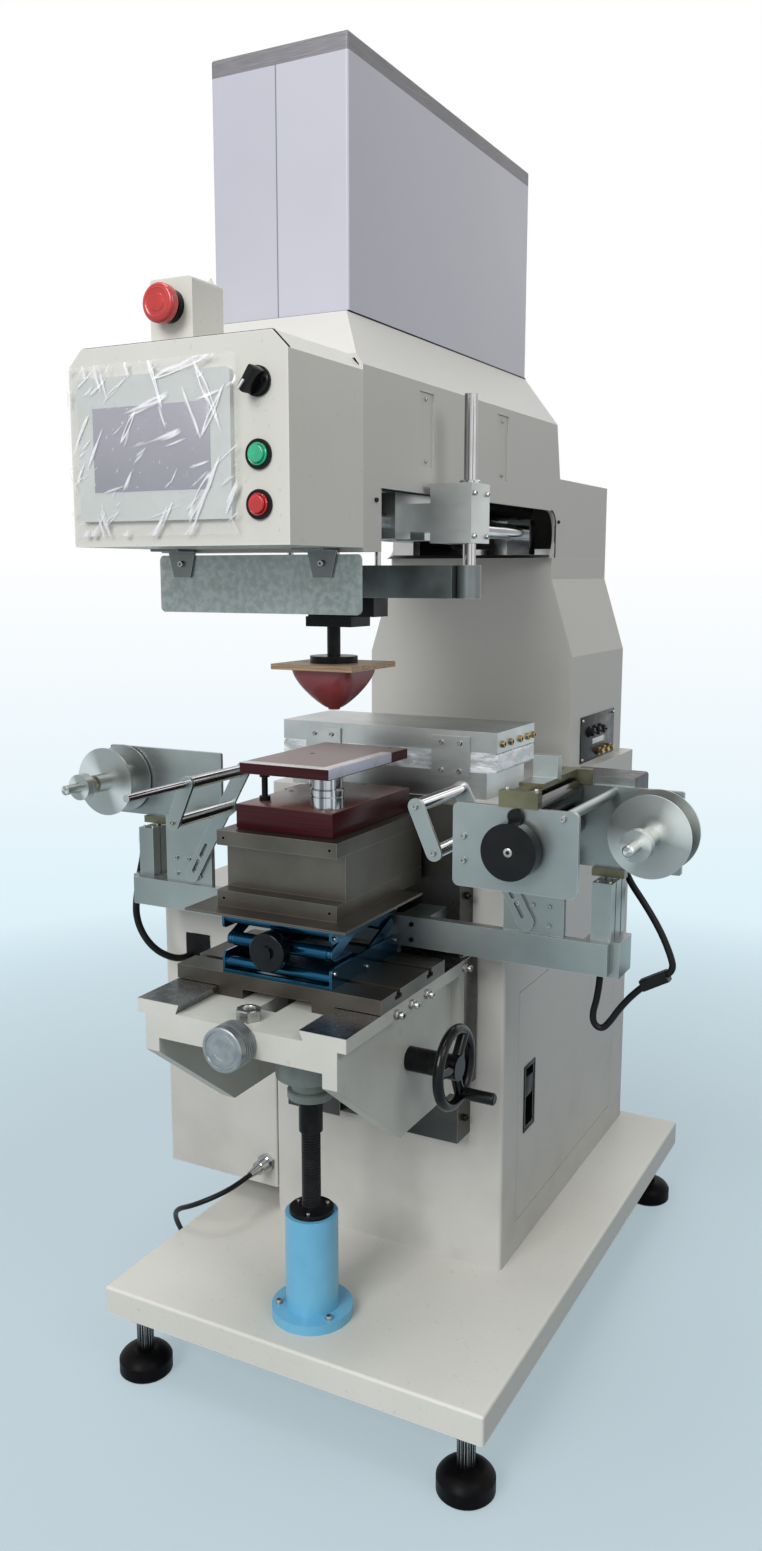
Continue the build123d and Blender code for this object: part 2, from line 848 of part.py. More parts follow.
# Handwheel: dished wheel with three spokes, and a free-turning crank handle
def make_handwheel():
    face_plane = Plane(origin=(wheel_x, wheel_y, wheel_z), z_dir=(1, 0, 0))
    rim = face_plane * Torus(wheel_radius - wheel_rim, wheel_rim)
    hub_inner = knee_half_width + slide_gap
    hub = rod((hub_inner, wheel_y, wheel_z), (wheel_x + 8, wheel_y, wheel_z), wheel_hub)
    body = rim + hub
    for index in range(3):
        angle = math.radians(crank_angle + 120 * index)
        reach = wheel_radius - wheel_rim
        end = (wheel_x, wheel_y + reach * math.cos(angle), wheel_z - reach * math.sin(angle))
        body += rod((wheel_x, wheel_y, wheel_z), end, wheel_spoke)
    body += rod((screw_radius + 12, wheel_y, wheel_z), (hub_inner + 1, wheel_y, wheel_z), wheel_shaft)
    pin_y = wheel_y + crank_reach * math.cos(math.radians(crank_angle))
    pin_z = wheel_z - crank_reach * math.sin(math.radians(crank_angle))
    pin_end = wheel_x + wheel_rim + crank_length
    body += rod((wheel_x, pin_y, pin_z), (pin_end, pin_y, pin_z), 4)
    grip_start = wheel_x + wheel_rim + slide_gap
    grip = rod((grip_start, pin_y, pin_z), (grip_start + crank_length, pin_y, pin_z), crank_radius)
    grip = fillet(grip.edges().sort_by(Axis.X)[-1], 3)
    grip -= rod((grip_start, pin_y, pin_z), (pin_end + slide_gap, pin_y, pin_z), 4 + shaft_gap)
    return body, grip


wheel, handle = make_handwheel()
keep("handwheel", wheel)
keep("crank_handle", handle)

# Cross table: slotted table on dovetail legs with the feed nut below
table_rear = table_front + table_depth
table_under = knee_top + table_lift
table_top = table_under + table_thickness


def make_table():
    body = block((-table_half_width, table_half_width), (table_front, table_rear), (table_under, table_top))
    for fraction in (0.25, 0.75):
        y = table_front + table_depth * fraction
        slot_floor = table_top - slot_lip - slot_root
        body -= block((-table_half_width, table_half_width), (y - slot_width / 2, y + slot_width / 2),
                      (slot_floor, table_top))
        body -= block((-table_half_width, table_half_width), (y - slot_undercut / 2, y + slot_undercut / 2),
                      (slot_floor, slot_floor + slot_root))
    foot = way_level + slide_gap
    rise = (table_under + 1 - foot) / (knee_top - way_level) * way_flare
    outer = way_half_mouth + way_flare - slide_gap * 1.5
    left_leg = front_profile([(-outer, foot), (leg_left_inner, foot), (leg_left_inner, table_under + 1),
                              (rise - outer, table_under + 1)], table_front, table_rear)
    right_leg = front_profile([(leg_right_inner, foot), (outer, foot), (outer - rise, table_under + 1),
                               (leg_right_inner, table_under + 1)], table_front, table_rear)
    nut_half = 12.0
    nut_y = table_front + 50
    nut = block((-nut_half, nut_half), (nut_y, nut_y + 30), (feed_z - 11, table_under + 1))
    nut -= rod((0, nut_y, feed_z), (0, nut_y + 30, feed_z), feed_screw_radius + shaft_gap)
    return body + left_leg + right_leg + nut


keep("cross_table", make_table())

# Lab jack: a four-link rhombus between a channelled base and top, drawn together by a screw
jack_floor = table_top
jack_roof = jack_floor + jack_height
jack_mid_y = jack_front + jack_depth / 2
jack_low_pivot = jack_floor + jack_pivot_rise
jack_high_pivot = jack_roof - jack_pivot_rise
jack_bar_z = (jack_low_pivot + jack_high_pivot) / 2
jack_front_y = jack_mid_y - jack_spread
jack_rear_y = jack_mid_y + jack_spread
jack_inside = jack_half_width - jack_side
upper_link_x = jack_inside - link_gap - jack_link_thickness
lower_link_x = upper_link_x - link_gap - jack_link_thickness


def jack_channel(level, flange_level, pivot_level, tube_y):
    """One half of the jack: a plate with two side flanges, pivot studs and a front tube."""
    half = jack_half_width
    rear = jack_front + jack_depth
    low, high = sorted((level, flange_level))
    body = block((-half, half), (jack_front, rear), (low, high))
    plate_inner = level + math.copysign(jack_plate, flange_level - level)
    hollow_low, hollow_high = sorted((plate_inner, flange_level))
    body -= block((-jack_inside, jack_inside), (jack_front, rear), (hollow_low, hollow_high))
    body = fillet(body.edges().filter_by(Axis.X).filter_by(lambda e: abs(e.center().Z - flange_level) < 0.1), 6)
    stud_end = lower_link_x - 1
    for side in (-1, 1):
        body += rod((side * jack_inside, jack_mid_y, pivot_level), (side * stud_end, jack_mid_y, pivot_level),
                    jack_pin_radius)
    tube_z = level + math.copysign(jack_plate + jack_tube_radius + jack_tube_gap, flange_level - level)
    return body + rod((-jack_inside, tube_y, tube_z), (jack_inside, tube_y, tube_z), jack_tube_radius)


def jack_link(x_inner, start, end):
    """A pair of flat links with round ends, one on each side of the jack."""
    links = []
    radius = jack_link_width / 2
    along = Vector(0, end[0] - start[0], end[1] - start[1])
    plane = Plane(origin=(x_inner, start[0], start[1]), x_dir=along, z_dir=(1, 0, 0))
    outline = plane * Pos(along.length / 2, 0) * SlotCenterToCenter(along.length, jack_link_width)
    plate = extrude(outline, jack_link_thickness)
    for y, z in (start, end):
        plate -= rod((x_inner, y, z), (x_inner + jack_link_thickness, y, z), jack_pin_radius + link_gap)
    links.append(plate)
    links.append(mirrored(plate))
    return links


def jack_bar(y, bore, screw_radius_here):
    """A round cross bar with a pin at each end."""
    shoulder = lower_link_x - slide_gap
    pin_end = upper_link_x + jack_link_thickness
    body = rod((-shoulder, y, jack_bar_z), (shoulder, y, jack_bar_z), jack_bar_radius)
    body += rod((-pin_end, y, jack_bar_z), (pin_end, y, jack_bar_z), jack_pin_radius)
    return body - rod((0, y - bore, jack_bar_z), (0, y + bore, jack_bar_z), screw_radius_here)


def make_jack_screw():
    """Screw through both bars with a black knob and a bright end in front."""
    knob_rear = jack_front - jack_plate
    knob_front = knob_rear - jack_knob_length
    body = rod((0, knob_front, jack_bar_z), (0, knob_rear, jack_bar_z), jack_knob_radius)
    body = fillet(body.edges().filter_by(GeomType.CIRCLE), 2)
    body += rod((0, knob_front - 4, jack_bar_z), (0, knob_front, jack_bar_z), jack_knob_radius * 0.35)
    tail = jack_rear_y + jack_bar_radius + 4
    return body + rod((0, knob_rear, jack_bar_z), (0, tail, jack_bar_z), jack_screw_radius)


keep("jack_base", jack_channel(jack_floor, jack_floor + jack_flange, jack_low_pivot,
                               jack_front + jack_tube_radius + jack_tube_gap))
keep("jack_top", jack_channel(jack_roof, jack_roof - jack_flange, jack_high_pivot,
                              jack_front + jack_tube_radius + jack_tube_gap))
keep("jack_front_bar", jack_bar(jack_front_y, jack_bar_radius, jack_screw_radius + shaft_gap))
keep("jack_rear_bar", jack_bar(jack_rear_y, jack_bar_radius, jack_screw_radius + link_gap))
keep("jack_screw", make_jack_screw())
keep("jack_link_lower_front", *jack_link(lower_link_x, (jack_front_y, jack_bar_z), (jack_mid_y, jack_low_pivot)))
keep("jack_link_lower_rear", *jack_link(upper_link_x, (jack_rear_y, jack_bar_z), (jack_mid_y, jack_low_pivot)))
keep("jack_link_upper_front", *jack_link(upper_link_x, (jack_front_y, jack_bar_z), (jack_mid_y, jack_high_pivot)))
keep("jack_link_upper_rear", *jack_link(lower_link_x, (jack_rear_y, jack_bar_z), (jack_mid_y, jack_high_pivot)))

# Work riser on the jack, fixture base with its turned posts, and the fixture plate
shim_top = jack_roof + shim_thickness
riser_body_bottom = shim_top + riser_foot
riser_body_top = riser_body_bottom + riser_body_height
riser_top = riser_body_top + riser_cap
riser_rear = riser_front + riser_depth
block_top = riser_top + block_height
fixture_bottom = block_top + post_span
fixture_top = fixture_bottom + fixture_thickness


def make_riser():
    half = riser_half_width
    foot = block((-half, half), (riser_front, riser_rear), (shim_top, riser_body_bottom))
    body = block((-half + 0.5, half - 0.5), (riser_front + riser_body_inset, riser_rear),
                 (riser_body_bottom, riser_body_top))
    cap = block((-half, half), (riser_front + 1, riser_rear), (riser_body_top, riser_top))
    for side in (-1, 1):
        hole_x = side * (half - 10)
        for piece_z in (shim_top + riser_foot / 2, riser_body_top + riser_cap / 2):
            hole = rod((hole_x, riser_front - 1, piece_z), (hole_x, riser_front + 8, piece_z), 2)
            foot -= hole
            cap -= hole
    shim = block((-shim_half_width, shim_half_width), (-23, beam_front - 1), (jack_roof, shim_top))
    return [shim, foot, body, cap]


def make_fixture_base():
    half = block_half_width
    rear = block_front + block_depth
    slab = rounded((-half, half), (block_front, rear), (riser_top, block_top), 1.5)
    low = fixture_post_radius
    outline = [(0, block_top), (low, block_top), (low, block_top + 16), (low * 0.7, block_top + 16),
               (low * 0.7, fixture_bottom), (0, fixture_bottom)]
    turned = revolve(make_face(Plane.XZ * Polyline(*outline, close=True)), Axis.Z)
    pieces = [slab]
    for x, y in ((-45, 60), (45, 60), (-45, 205), (45, 205)):
        pieces.append(Pos(x, y, 0) * turned)
    return pieces


keep("work_riser", *make_riser())
keep("fixture_base", *make_fixture_base())
plate_rear = block_front + block_depth + 4
keep("fixture_plate", rounded((-fixture_half_width, fixture_half_width), (block_front + 1, plate_rear),
                              (fixture_bottom, fixture_top), 2))

# Hot plate on its support: block, wrapped heat shield, heated plate and two brackets
wrap_bottom = cabinet_height + hot_block_height
hot_bottom = wrap_bottom + wrap_height
hot_top = hot_bottom + hot_thickness
hot_rear = hot_front + hot_depth


def make_hot_plate():
    half = hot_half_width
    plate = block((-half, half), (hot_front, hot_rear), (hot_bottom, hot_top))
    for x in (-half, half):
        for y in (hot_front + 18, hot_front + 47, hot_front + 82, hot_rear - 5):
            plate -= rod((x - 6, y, hot_bottom + 11), (x + 6, y, hot_bottom + 11), 2)
    brackets = []
    for side in (-1, 1):
        low, high = sorted((side * bracket_inner, side * (bracket_inner + bracket_width)))
        strap = block((low, high), (hot_front - bracket_thickness, hot_front),
                      (hot_top - 8 - bracket_height, hot_top - 8))
        for x in (low + 14, high - 14):
            strap -= rod((x, hot_front - bracket_thickness, hot_bottom + 11), (x, hot_front, hot_bottom + 11), 3)
        brackets.append(strap)
    return [plate, *brackets]


def make_plate_support():
    lower = block((-hot_block_half_width, hot_block_half_width), (hot_front, hot_rear),
                  (cabinet_height, wrap_bottom))
    wrap = rounded((-hot_half_width, hot_half_width), (hot_front, hot_rear), (wrap_bottom, hot_bottom),
                   6, Axis.Y)
    return [lower, wrap]


keep("hot_plate", *make_hot_plate())
keep("plate_support", *make_plate_support())

# Rails, carriage and cylinders inside the head
rail_z = head_bottom + rail_above_bottom
rail_rear = rail_front + rail_length
head_floor = head_bottom + head_wall
carriage_low = rail_z - bearing_radius
carriage_plate_low = rail_z + bearing_radius
carriage_plate_high = carriage_plate_low + carriage_plate
carriage_front = carriage_y - carriage_half_length
carriage_back = carriage_y + carriage_half_length
drive_z = head_rear_top - head_wall - drive_cylinder_radius - 3
drive_front = carriage_back + carriage_travel + 36
drive_rear = drive_front + drive_cylinder_length


def make_rails():
    pieces = []
    for side in (-1, 1):
        x = side * rail_x
        pieces.append(rod((x, rail_front, rail_z), (x, rail_rear, rail_z), rail_radius))
        for start in (rail_front, rail_rear - 24):
            low, high = sorted((side * (rail_x - rail_block / 2), side * (rail_x + rail_block / 2 - 4)))
            holder = block((low, high), (start, start + 24), (head_floor, rail_z + rail_block / 2))
            pieces.append(holder - rod((x, start, rail_z), (x, start + 24, rail_z), rail_radius))
    barrel = rod((0, drive_front, drive_z), (0, drive_rear, drive_z), drive_cylinder_radius)
    barrel -= rod((0, drive_front + 12, drive_z), (0, drive_rear - 12, drive_z), drive_cylinder_radius - 4)
    barrel -= rod((0, drive_front, drive_z), (0, drive_front + 12, drive_z), drive_rod_radius + shaft_gap)
    saddle = block((-20, 20), (drive_rear - 60, drive_rear - 20), (head_floor, drive_z - drive_cylinder_radius + 8))
    neck = head_half_width - pillar_wall
    bridge = block((-neck - 1, neck + 1), (drive_rear - 60, drive_rear - 20), (head_floor, head_floor + 12))
    pieces.append(barrel + saddle + bridge)
    return pieces


def make_carriage():
    """Plate on four bearing blocks, with the pad cylinder standing on it."""
    half = rail_x + bearing_radius
    plate = block((-half, half), (carriage_front, carriage_back), (carriage_plate_low - 1, carriage_plate_high))
    for side in (-1, 1):
        x = side * rail_x
        for start in (carriage_front, carriage_back - 40):
            low, high = sorted((side * (rail_x - bearing_radius), side * half))
            bearing = block((low, high), (start, start + 40), (carriage_low, carriage_plate_low))
            plate += bearing
        plate -= rod((x, carriage_front, rail_z), (x, carriage_back, rail_z), rail_radius + shaft_gap)
    low = carriage_plate_low - 1
    top = carriage_plate_high + pad_cylinder_height
    rod_bore = drive_rod_radius + shaft_gap
    barrel = rod((0, carriage_y, carriage_plate_high), (0, carriage_y, top), pad_cylinder_radius)
    barrel -= rod((0, carriage_y, carriage_plate_high + 12), (0, carriage_y, top - 12), pad_cylinder_bore)
    barrel -= rod((0, carriage_y, carriage_plate_high), (0, carriage_y, carriage_plate_high + 12), rod_bore)
    plate -= rod((0, carriage_y, low), (0, carriage_y, carriage_plate_high), rod_bore)
    plate -= rod((twin_rod_x, carriage_y, low), (twin_rod_x, carriage_y, carriage_plate_high),
                 twin_rod_radius + shaft_gap)
    plate -= rod((-twin_rod_x, carriage_y, low), (-twin_rod_x, carriage_y, carriage_plate_high),
                 twin_rod_radius + shaft_gap)
    lug = block((-18, 18), (carriage_back - 16, carriage_back), (carriage_plate_high, drive_z + 14))
    push_rod = rod((0, carriage_back, drive_z), (0, drive_front + 24, drive_z), drive_rod_radius)
    piston = rod((0, drive_front + 14, drive_z), (0, drive_front + 34, drive_z),
                 drive_cylinder_radius - 4 - shaft_gap)
    return [plate, barrel, lug + push_rod + piston]


def make_guide_block():
    """Aluminium block outside the window that guides the outer rod, on an arm from the carriage."""
    outer = guide_block_inner + guide_block_width
    depth = 27.0
    top = guide_block_bottom + guide_block_height
    body = block((guide_block_inner, outer), (carriage_y - depth, carriage_y + depth), (guide_block_bottom, top))
    body += block((guide_block_inner - 4, outer), (carriage_y - depth, carriage_y + depth), (top, top + 4))
    arm_low = guide_block_bottom + 14
    arm = block((rail_x + bearing_radius, guide_block_inner), (carriage_y - depth, carriage_y + depth),
                (arm_low, head_bottom + window_height - 12))
    body += arm
    return body - rod((guide_rod_x, carriage_y, guide_block_bottom), (guide_rod_x, carriage_y, top + 4),
                      guide_rod_radius + shaft_gap)


keep("head_rails", *make_rails())
keep("pad_carriage", *make_carriage())
keep("guide_block", make_guide_block())

# Pad head: cross bar with its rods, clamp and stem, wooden board and silicone pad
pad_top = pad_tip + pad_height
board_top = pad_top + board_thickness
flange_top = board_top + flange_thickness
stem_top = flange_top + stem_length
clamp_top = stem_top + clamp_height
cross_low = clamp_top + head_block_height
cross_high = cross_low + cross_bar_height


def make_cross_bar():
    """Head block and dark cross bar, with the piston rod, twin rods and outer guide rod."""
    front = carriage_y - cross_bar_depth / 2
    rear = carriage_y + cross_bar_depth / 2
    body = block((-twin_rod_x - 9, guide_rod_x - 14), (front, rear), (cross_low, cross_high))
    body += rod((guide_rod_x, carriage_y, cross_low), (guide_rod_x, carriage_y, cross_high), 14.5)
    body += block((-27, 69), (front + 1, rear - 1), (clamp_top, cross_low))
    body -= rod((guide_rod_x, carriage_y, cross_low), (guide_rod_x, carriage_y, cross_high), guide_rod_radius)
    outer_rod = rod((guide_rod_x, carriage_y, cross_low), (guide_rod_x, carriage_y, cross_low + guide_rod_length),
                    guide_rod_radius)
    rods = [outer_rod]
    twin_top = carriage_plate_high + pad_travel + 30
    for x in (-twin_rod_x, twin_rod_x):
        rods.append(rod((x, carriage_y, cross_high), (x, carriage_y, twin_top), twin_rod_radius))
    piston_low = carriage_plate_high + 12 + pad_travel + 6
    piston = rod((0, carriage_y, cross_high), (0, carriage_y, piston_low + 20), drive_rod_radius)
    piston += rod((0, carriage_y, piston_low), (0, carriage_y, piston_low + 20), pad_cylinder_bore - shaft_gap)
    rods.append(piston)
    return [body, *rods]


def make_stem():
    lower = block((-27, 40), (carriage_y - 25, carriage_y + 25), (stem_top, clamp_top))
    column = rod((0, carriage_y, flange_top), (0, carriage_y, stem_top), stem_radius)
    disc = rod((0, carriage_y, board_top), (0, carriage_y, flange_top), flange_radius)
    half = board_half_width
    board = rounded((-half, half), (carriage_y - half, carriage_y + half), (pad_top, board_top), 3)
    return [lower + column + disc, board]


def make_pad():
    """Square silicone dome: rounded square sections that shrink to the tip."""
    sections = []
    steps = 5
    for index in range(steps):
        share = index / (steps - 1)
        level = pad_tip + 3 + (pad_height - 3) * share
        half = pad_half_width * (0.24 + 0.76 * math.sin(share * math.pi / 2) ** 0.8)
        corner = half * (0.9 - 0.6 * share)
        sections.append(Pos(0, carriage_y, level) * RectangleRounded(half * 2, half * 2, corner))
    dome = loft(sections)
    tip_half = pad_half_width * 0.24
    tip = Pos(0, carriage_y, pad_tip) * extrude(Circle(tip_half * 0.72), 3, taper=-20)
    return dome + tip


keep("cross_bar", *make_cross_bar())
keep("pad_stem", *make_stem())
keep("silicone_pad", make_pad())

# Deflector plate under the panel box on two angle brackets
deflector_top = deflector_bottom + deflector_height


def make_deflector():
    plate = rounded((-deflector_half_width, deflector_half_width),
                    (deflector_y - deflector_thickness, deflector_y), (deflector_bottom, deflector_top), 6, Axis.Y)
    pieces = [plate]
    front = deflector_y - deflector_thickness
    for x in (-104, 90):
        upright = front_profile([(x - 12, deflector_top - 26), (x + 12, deflector_top - 26), (x + 20, panel_bottom),
                                 (x - 20, panel_bottom)], front - 3, front)
        ledge = block((x - 20, x + 20), (front - 36, front), (panel_bottom - 3, panel_bottom))
        pieces.append(upright + ledge)
    return pieces


keep("deflector_plate", *make_deflector())

# Reel beam across the knee, with spacers to the column guide and a lift cylinder at each end
beam_rear = beam_front + beam_thickness
beam_top = beam_bottom + beam_height
lift_top = beam_top + lift_body
lift_back = lift_y + lift_depth / 2
plate_foot_z = film_plate_bottom


def make_beam():
    half = beam_half_length
    bar = block((-half, half), (beam_front, beam_rear), (beam_bottom, beam_top))
    pieces = [bar]
    for side in (-1, 1):
        low, high = sorted((side * (beam_spacer_x - beam_spacer_width / 2),
                            side * (beam_spacer_x + beam_spacer_width / 2)))
        pieces.append(block((low, high), (beam_rear, guide_front), (beam_bottom, beam_top)))
        low, high = sorted((side * (lift_x - 21), side * (lift_x + 25)))
        pieces.append(block((low, high), (beam_rear, lift_back - 8), (beam_bottom - 5, beam_top)))
    return pieces


def make_lift(side):
    """Compact air cylinder with a grooved body and a hose fitting."""
    low, high = sorted((side * (lift_x - lift_width / 2), side * (lift_x + lift_width / 2)))
    body = block((low, high), (beam_rear + 1, lift_back), (beam_top, lift_top))
    x = side * lift_x
    for y in (lift_y - 12, lift_y + 12):
        for face_x in (low, high):
            body -= block((face_x - 1.5, face_x + 1.5), (y - 2, y + 2), (beam_top, lift_top))
    bore = lift_rod_radius + shaft_gap
    body -= rod((x, lift_y, lift_top - 30), (x, lift_y, lift_top), bore)
    return body


def lift_fittings():
    elbow_x = -(lift_x + lift_width / 2 + 16)
    elbow_z = lift_top - 24
    elbow = rod((elbow_x, lift_y, elbow_z), (elbow_x + 16, lift_y, elbow_z), 5)
    elbow += rod((elbow_x, lift_y, elbow_z - 6), (elbow_x, lift_y, elbow_z + 6), 7)
    sensor_x = lift_x - lift_width / 2
    sensor = block((sensor_x - 11, sensor_x), (lift_back - 20, lift_back + 12), (lift_top - 48, lift_top - 24))
    return [elbow, sensor]


keep("reel_beam", *make_beam())
keep("lift_cylinders", make_lift(-1), make_lift(1), *lift_fittings())

# Film plates on the cylinder rods, with the right-hand feed unit
film_plate_top = film_plate_bottom + film_plate_height
film_plate_face = film_plate_back - film_plate_thickness
front_plate_back = film_front_plate_y + film_plate_thickness
pinch_z = roller_z + drive_radius + pinch_radius + roller_gap


def make_rear_plate(side):
    low, high = sorted((side * film_plate_inner, side * film_plate_outer))
    plate = rounded((low, high), (film_plate_face, film_plate_back), (film_plate_bottom, film_plate_top), 3, Axis.Y)
    reel_bore = reel_shaft_radius + shaft_gap
    plate -= rod((side * reel_x, film_plate_face, reel_z), (side * reel_x, film_plate_back, reel_z), reel_bore)
    foot = block((side * lift_x - 21, side * lift_x + 21), (lift_y - 6, film_plate_back),
                 (film_plate_bottom - lift_foot, film_plate_bottom))
    foot += rod((side * lift_x, lift_y, lift_top - 30 + lift_travel / 2), (side * lift_x, lift_y, film_plate_bottom - 1),
                lift_rod_radius)
    return [plate, foot]


def make_feed_unit():
    """Front plate on three tie rods, clamp blocks, pinch slide and the film motor."""
    inner = film_front_plate_inner
    outer = inner + film_front_plate_width
    front = rounded((inner, outer), (film_front_plate_y, front_plate_back),
                    (film_plate_bottom + 5, film_plate_top), film_corner, Axis.Y)
    rear, foot = make_rear_plate(1)
    bore = roller_shaft_radius + shaft_gap
    for z in (roller_z, pinch_z):
        front -= rod((drive_x, film_front_plate_y, z), (drive_x, front_plate_back, z), bore)
        rear -= rod((drive_x, film_plate_face, z), (drive_x, film_plate_back, z), bore)
    pieces = []
    for x, z in ((356, 729), (236, 698), (236, 669)):
        pieces.append(rod((x, front_plate_back, z), (x, film_plate_face, z), tie_rod_radius))
    for y_low, y_high in ((film_front_plate_y - 4, front_plate_back + 3),
                          (film_plate_face - 3, film_plate_back + 4)):
        pieces.append(block((drive_x - 21, drive_x + 26), (y_low, y_high), (film_plate_top, film_plate_top + 19)))
    angle = side_profile([(75, film_plate_top + 19), (135, film_plate_top + 19), (135, film_plate_top + 50),
                          (120, film_plate_top + 50), (120, film_plate_top + 24), (75, film_plate_top + 24)],
                         drive_x - 10, drive_x + 20)
    strip = block((drive_x - 8, drive_x + 8), (front_plate_back + 3, film_plate_face - 3),
                  (film_plate_top + 13, film_plate_top + 19))
    pieces.append(angle + strip)
    motor = rounded((motor_inner, motor_inner + motor_width), (film_plate_back, film_plate_back + motor_depth),
                    (motor_bottom, motor_bottom + motor_height), 4, Axis.Y)
    return [rear, foot, front, *pieces, motor]


keep("film_plate_left", *make_rear_plate(-1))
keep("film_plate_right", *make_feed_unit())


def make_reel(side):
    """Spool with two flanges, its shaft and the locking collar."""
    x = side * reel_x
    rear = reel_front + reel_width
    spool = rod((x, reel_front, reel_z), (x, reel_front + 3, reel_z), reel_radius)
    spool += rod((x, rear - 3, reel_z), (x, rear, reel_z), reel_radius)
    spool += rod((x, reel_front, reel_z), (x, rear, reel_z), reel_hub_radius)
    spool += rod((x, reel_front - 24, reel_z), (x, reel_front, reel_z), reel_hub_radius * 0.55)
    shaft = rod((x, reel_shaft_tip, reel_z), (x, film_plate_back + 6, reel_z), reel_shaft_radius)
    shaft = chamfer(shaft.edges().sort_by(Axis.Y)[0], 1.5)
    collar = rod((x, reel_collar_y, reel_z), (x, reel_collar_y + reel_collar_length, reel_z), reel_collar_radius)
    return spool + shaft + collar


def make_roller(z, radius, knob_rear, knob_radius, knob_length):
    """Rubber roller on a shaft with a knob in front of the plate."""
    body = rod((drive_x, front_plate_back + 4, z), (drive_x, film_plate_face - 4, z), radius)
    body += rod((drive_x, knob_rear, z), (drive_x, film_plate_back - slide_gap, z), roller_shaft_radius)
    knob = rod((drive_x, knob_rear - knob_length, z), (drive_x, knob_rear, z), knob_radius)
    return body + knob


keep("reel_left", make_reel(-1))
keep("reel_right", make_reel(1))
pinch_knob_rear = film_front_plate_y - 4
drive_knob_rear = pinch_knob_rear - 4
keep("drive_roller", make_roller(roller_z, drive_radius, drive_knob_rear, drive_knob_radius, drive_knob_length))
keep("pinch_roller", make_roller(pinch_z, pinch_radius, pinch_knob_rear, roller_shaft_radius + 4, 3))

# Guide plates and slotted arms that hold the four chrome guide bars
arm_front = beam_rear - guide_plate_thickness - arm_thickness


def arm(start, end, width, y_low, thickness, slots):
    """A flat arm with round ends between two (x, z) points."""
    along = Vector(end[0] - start[0], 0, end[1] - start[1])
    plane = Plane(origin=(start[0], y_low, start[1]), x_dir=along, z_dir=(0, 1, 0))
    plate = extrude(plane * Pos(along.length / 2, 0) * SlotCenterToCenter(along.length, width), thickness)
    for place in slots:
        cut = plane * Pos(place, 0) * SlotCenterToCenter(18, 7)
        plate -= extrude(cut, thickness)
    return plate


def make_guide_arms():
    pieces = []
    bore = guide_bar_radius + shaft_gap
    plate_front = beam_rear - guide_plate_thickness
    plate = block((guide_plate_inner, guide_plate_inner + guide_plate_width), (plate_front, beam_rear),
                  (beam_top, beam_top + guide_plate_height))
    slotted = arm((arm_foot_x, arm_foot_z + 10), (upper_bar_x, upper_bar_z), arm_width, arm_front, arm_thickness,
                  (16, 44))
    slotted -= rod((upper_bar_x, arm_front, upper_bar_z), (upper_bar_x, arm_front + arm_thickness, upper_bar_z), bore)
    tab = arm((lower_bar_x, lower_bar_z), (212, 655), arm_width, arm_front, arm_thickness, ())
    slotted += tab
    slotted -= rod((lower_bar_x, arm_front, lower_bar_z), (lower_bar_x, arm_front + arm_thickness, lower_bar_z), bore)
    front_arm = arm((upper_bar_x, upper_bar_z), (lower_bar_x, lower_bar_z), link_arm_width,
                    bar_front - arm_thickness, arm_thickness, ())
    for piece in (plate, slotted, front_arm):
        pieces.append(piece)
        pieces.append(mirrored(piece))
    return pieces


def make_guide_bars():
    bar_rear = arm_front + arm_thickness
    pieces = []
    for side in (-1, 1):
        for x, z in ((upper_bar_x, upper_bar_z), (lower_bar_x, lower_bar_z)):
            pieces.append(rod((side * x, bar_front, z), (side * x, bar_rear, z), guide_bar_radius))
    long_front = bar_front - arm_thickness - long_bar_reach
    pieces.append(rod((-upper_bar_x, long_front, upper_bar_z), (-upper_bar_x, bar_front - arm_thickness, upper_bar_z),
                      long_bar_radius))
    return pieces


keep("guide_arms", *make_guide_arms())
keep("guide_bars", *make_guide_bars())

# Switch box on the cabinet's left side, with its rocker inlet and cord gland
box_right = box_left + box_width
box_front = cabinet_front
gland_mouth = box_front - gland_length


def make_switch_box():
    right = -cabinet_half_width
    body = rounded((box_left, right), (box_front, box_front + box_depth), (box_bottom, box_bottom + box_height), 3)
    hollow = block((box_left + box_wall, right), (box_front + box_wall, box_front + box_depth - box_wall),
                   (box_bottom + box_wall, box_bottom + box_height - box_wall))
    body -= hollow
    recess = ((inlet_left, inlet_left + inlet_width), (box_front - inlet_proud, box_front + box_wall),
              (inlet_bottom, inlet_bottom + inlet_height))
    body -= block(*recess)
    return [body, rounded(*recess, 2, Axis.Y)]


def make_gland():
    nut = hexagon((gland_x, box_front, gland_z), gland_radius * 2, 8, (0, -1, 0))
    dome = rod((gland_x, box_front - 8, gland_z), (gland_x, gland_mouth, gland_z), gland_radius - 2)
    relief_end = gland_mouth - 24
    cone = Plane(origin=(gland_x, gland_mouth, gland_z), z_dir=(0, -1, 0)) * Circle(gland_radius - 5)
    tip = Plane(origin=(gland_x, relief_end, gland_z), z_dir=(0, -1, 0)) * Circle(cord_radius + 1)
    return nut + dome + loft([cone, tip])


keep("switch_box", *make_switch_box())
keep("cord_gland", make_gland())

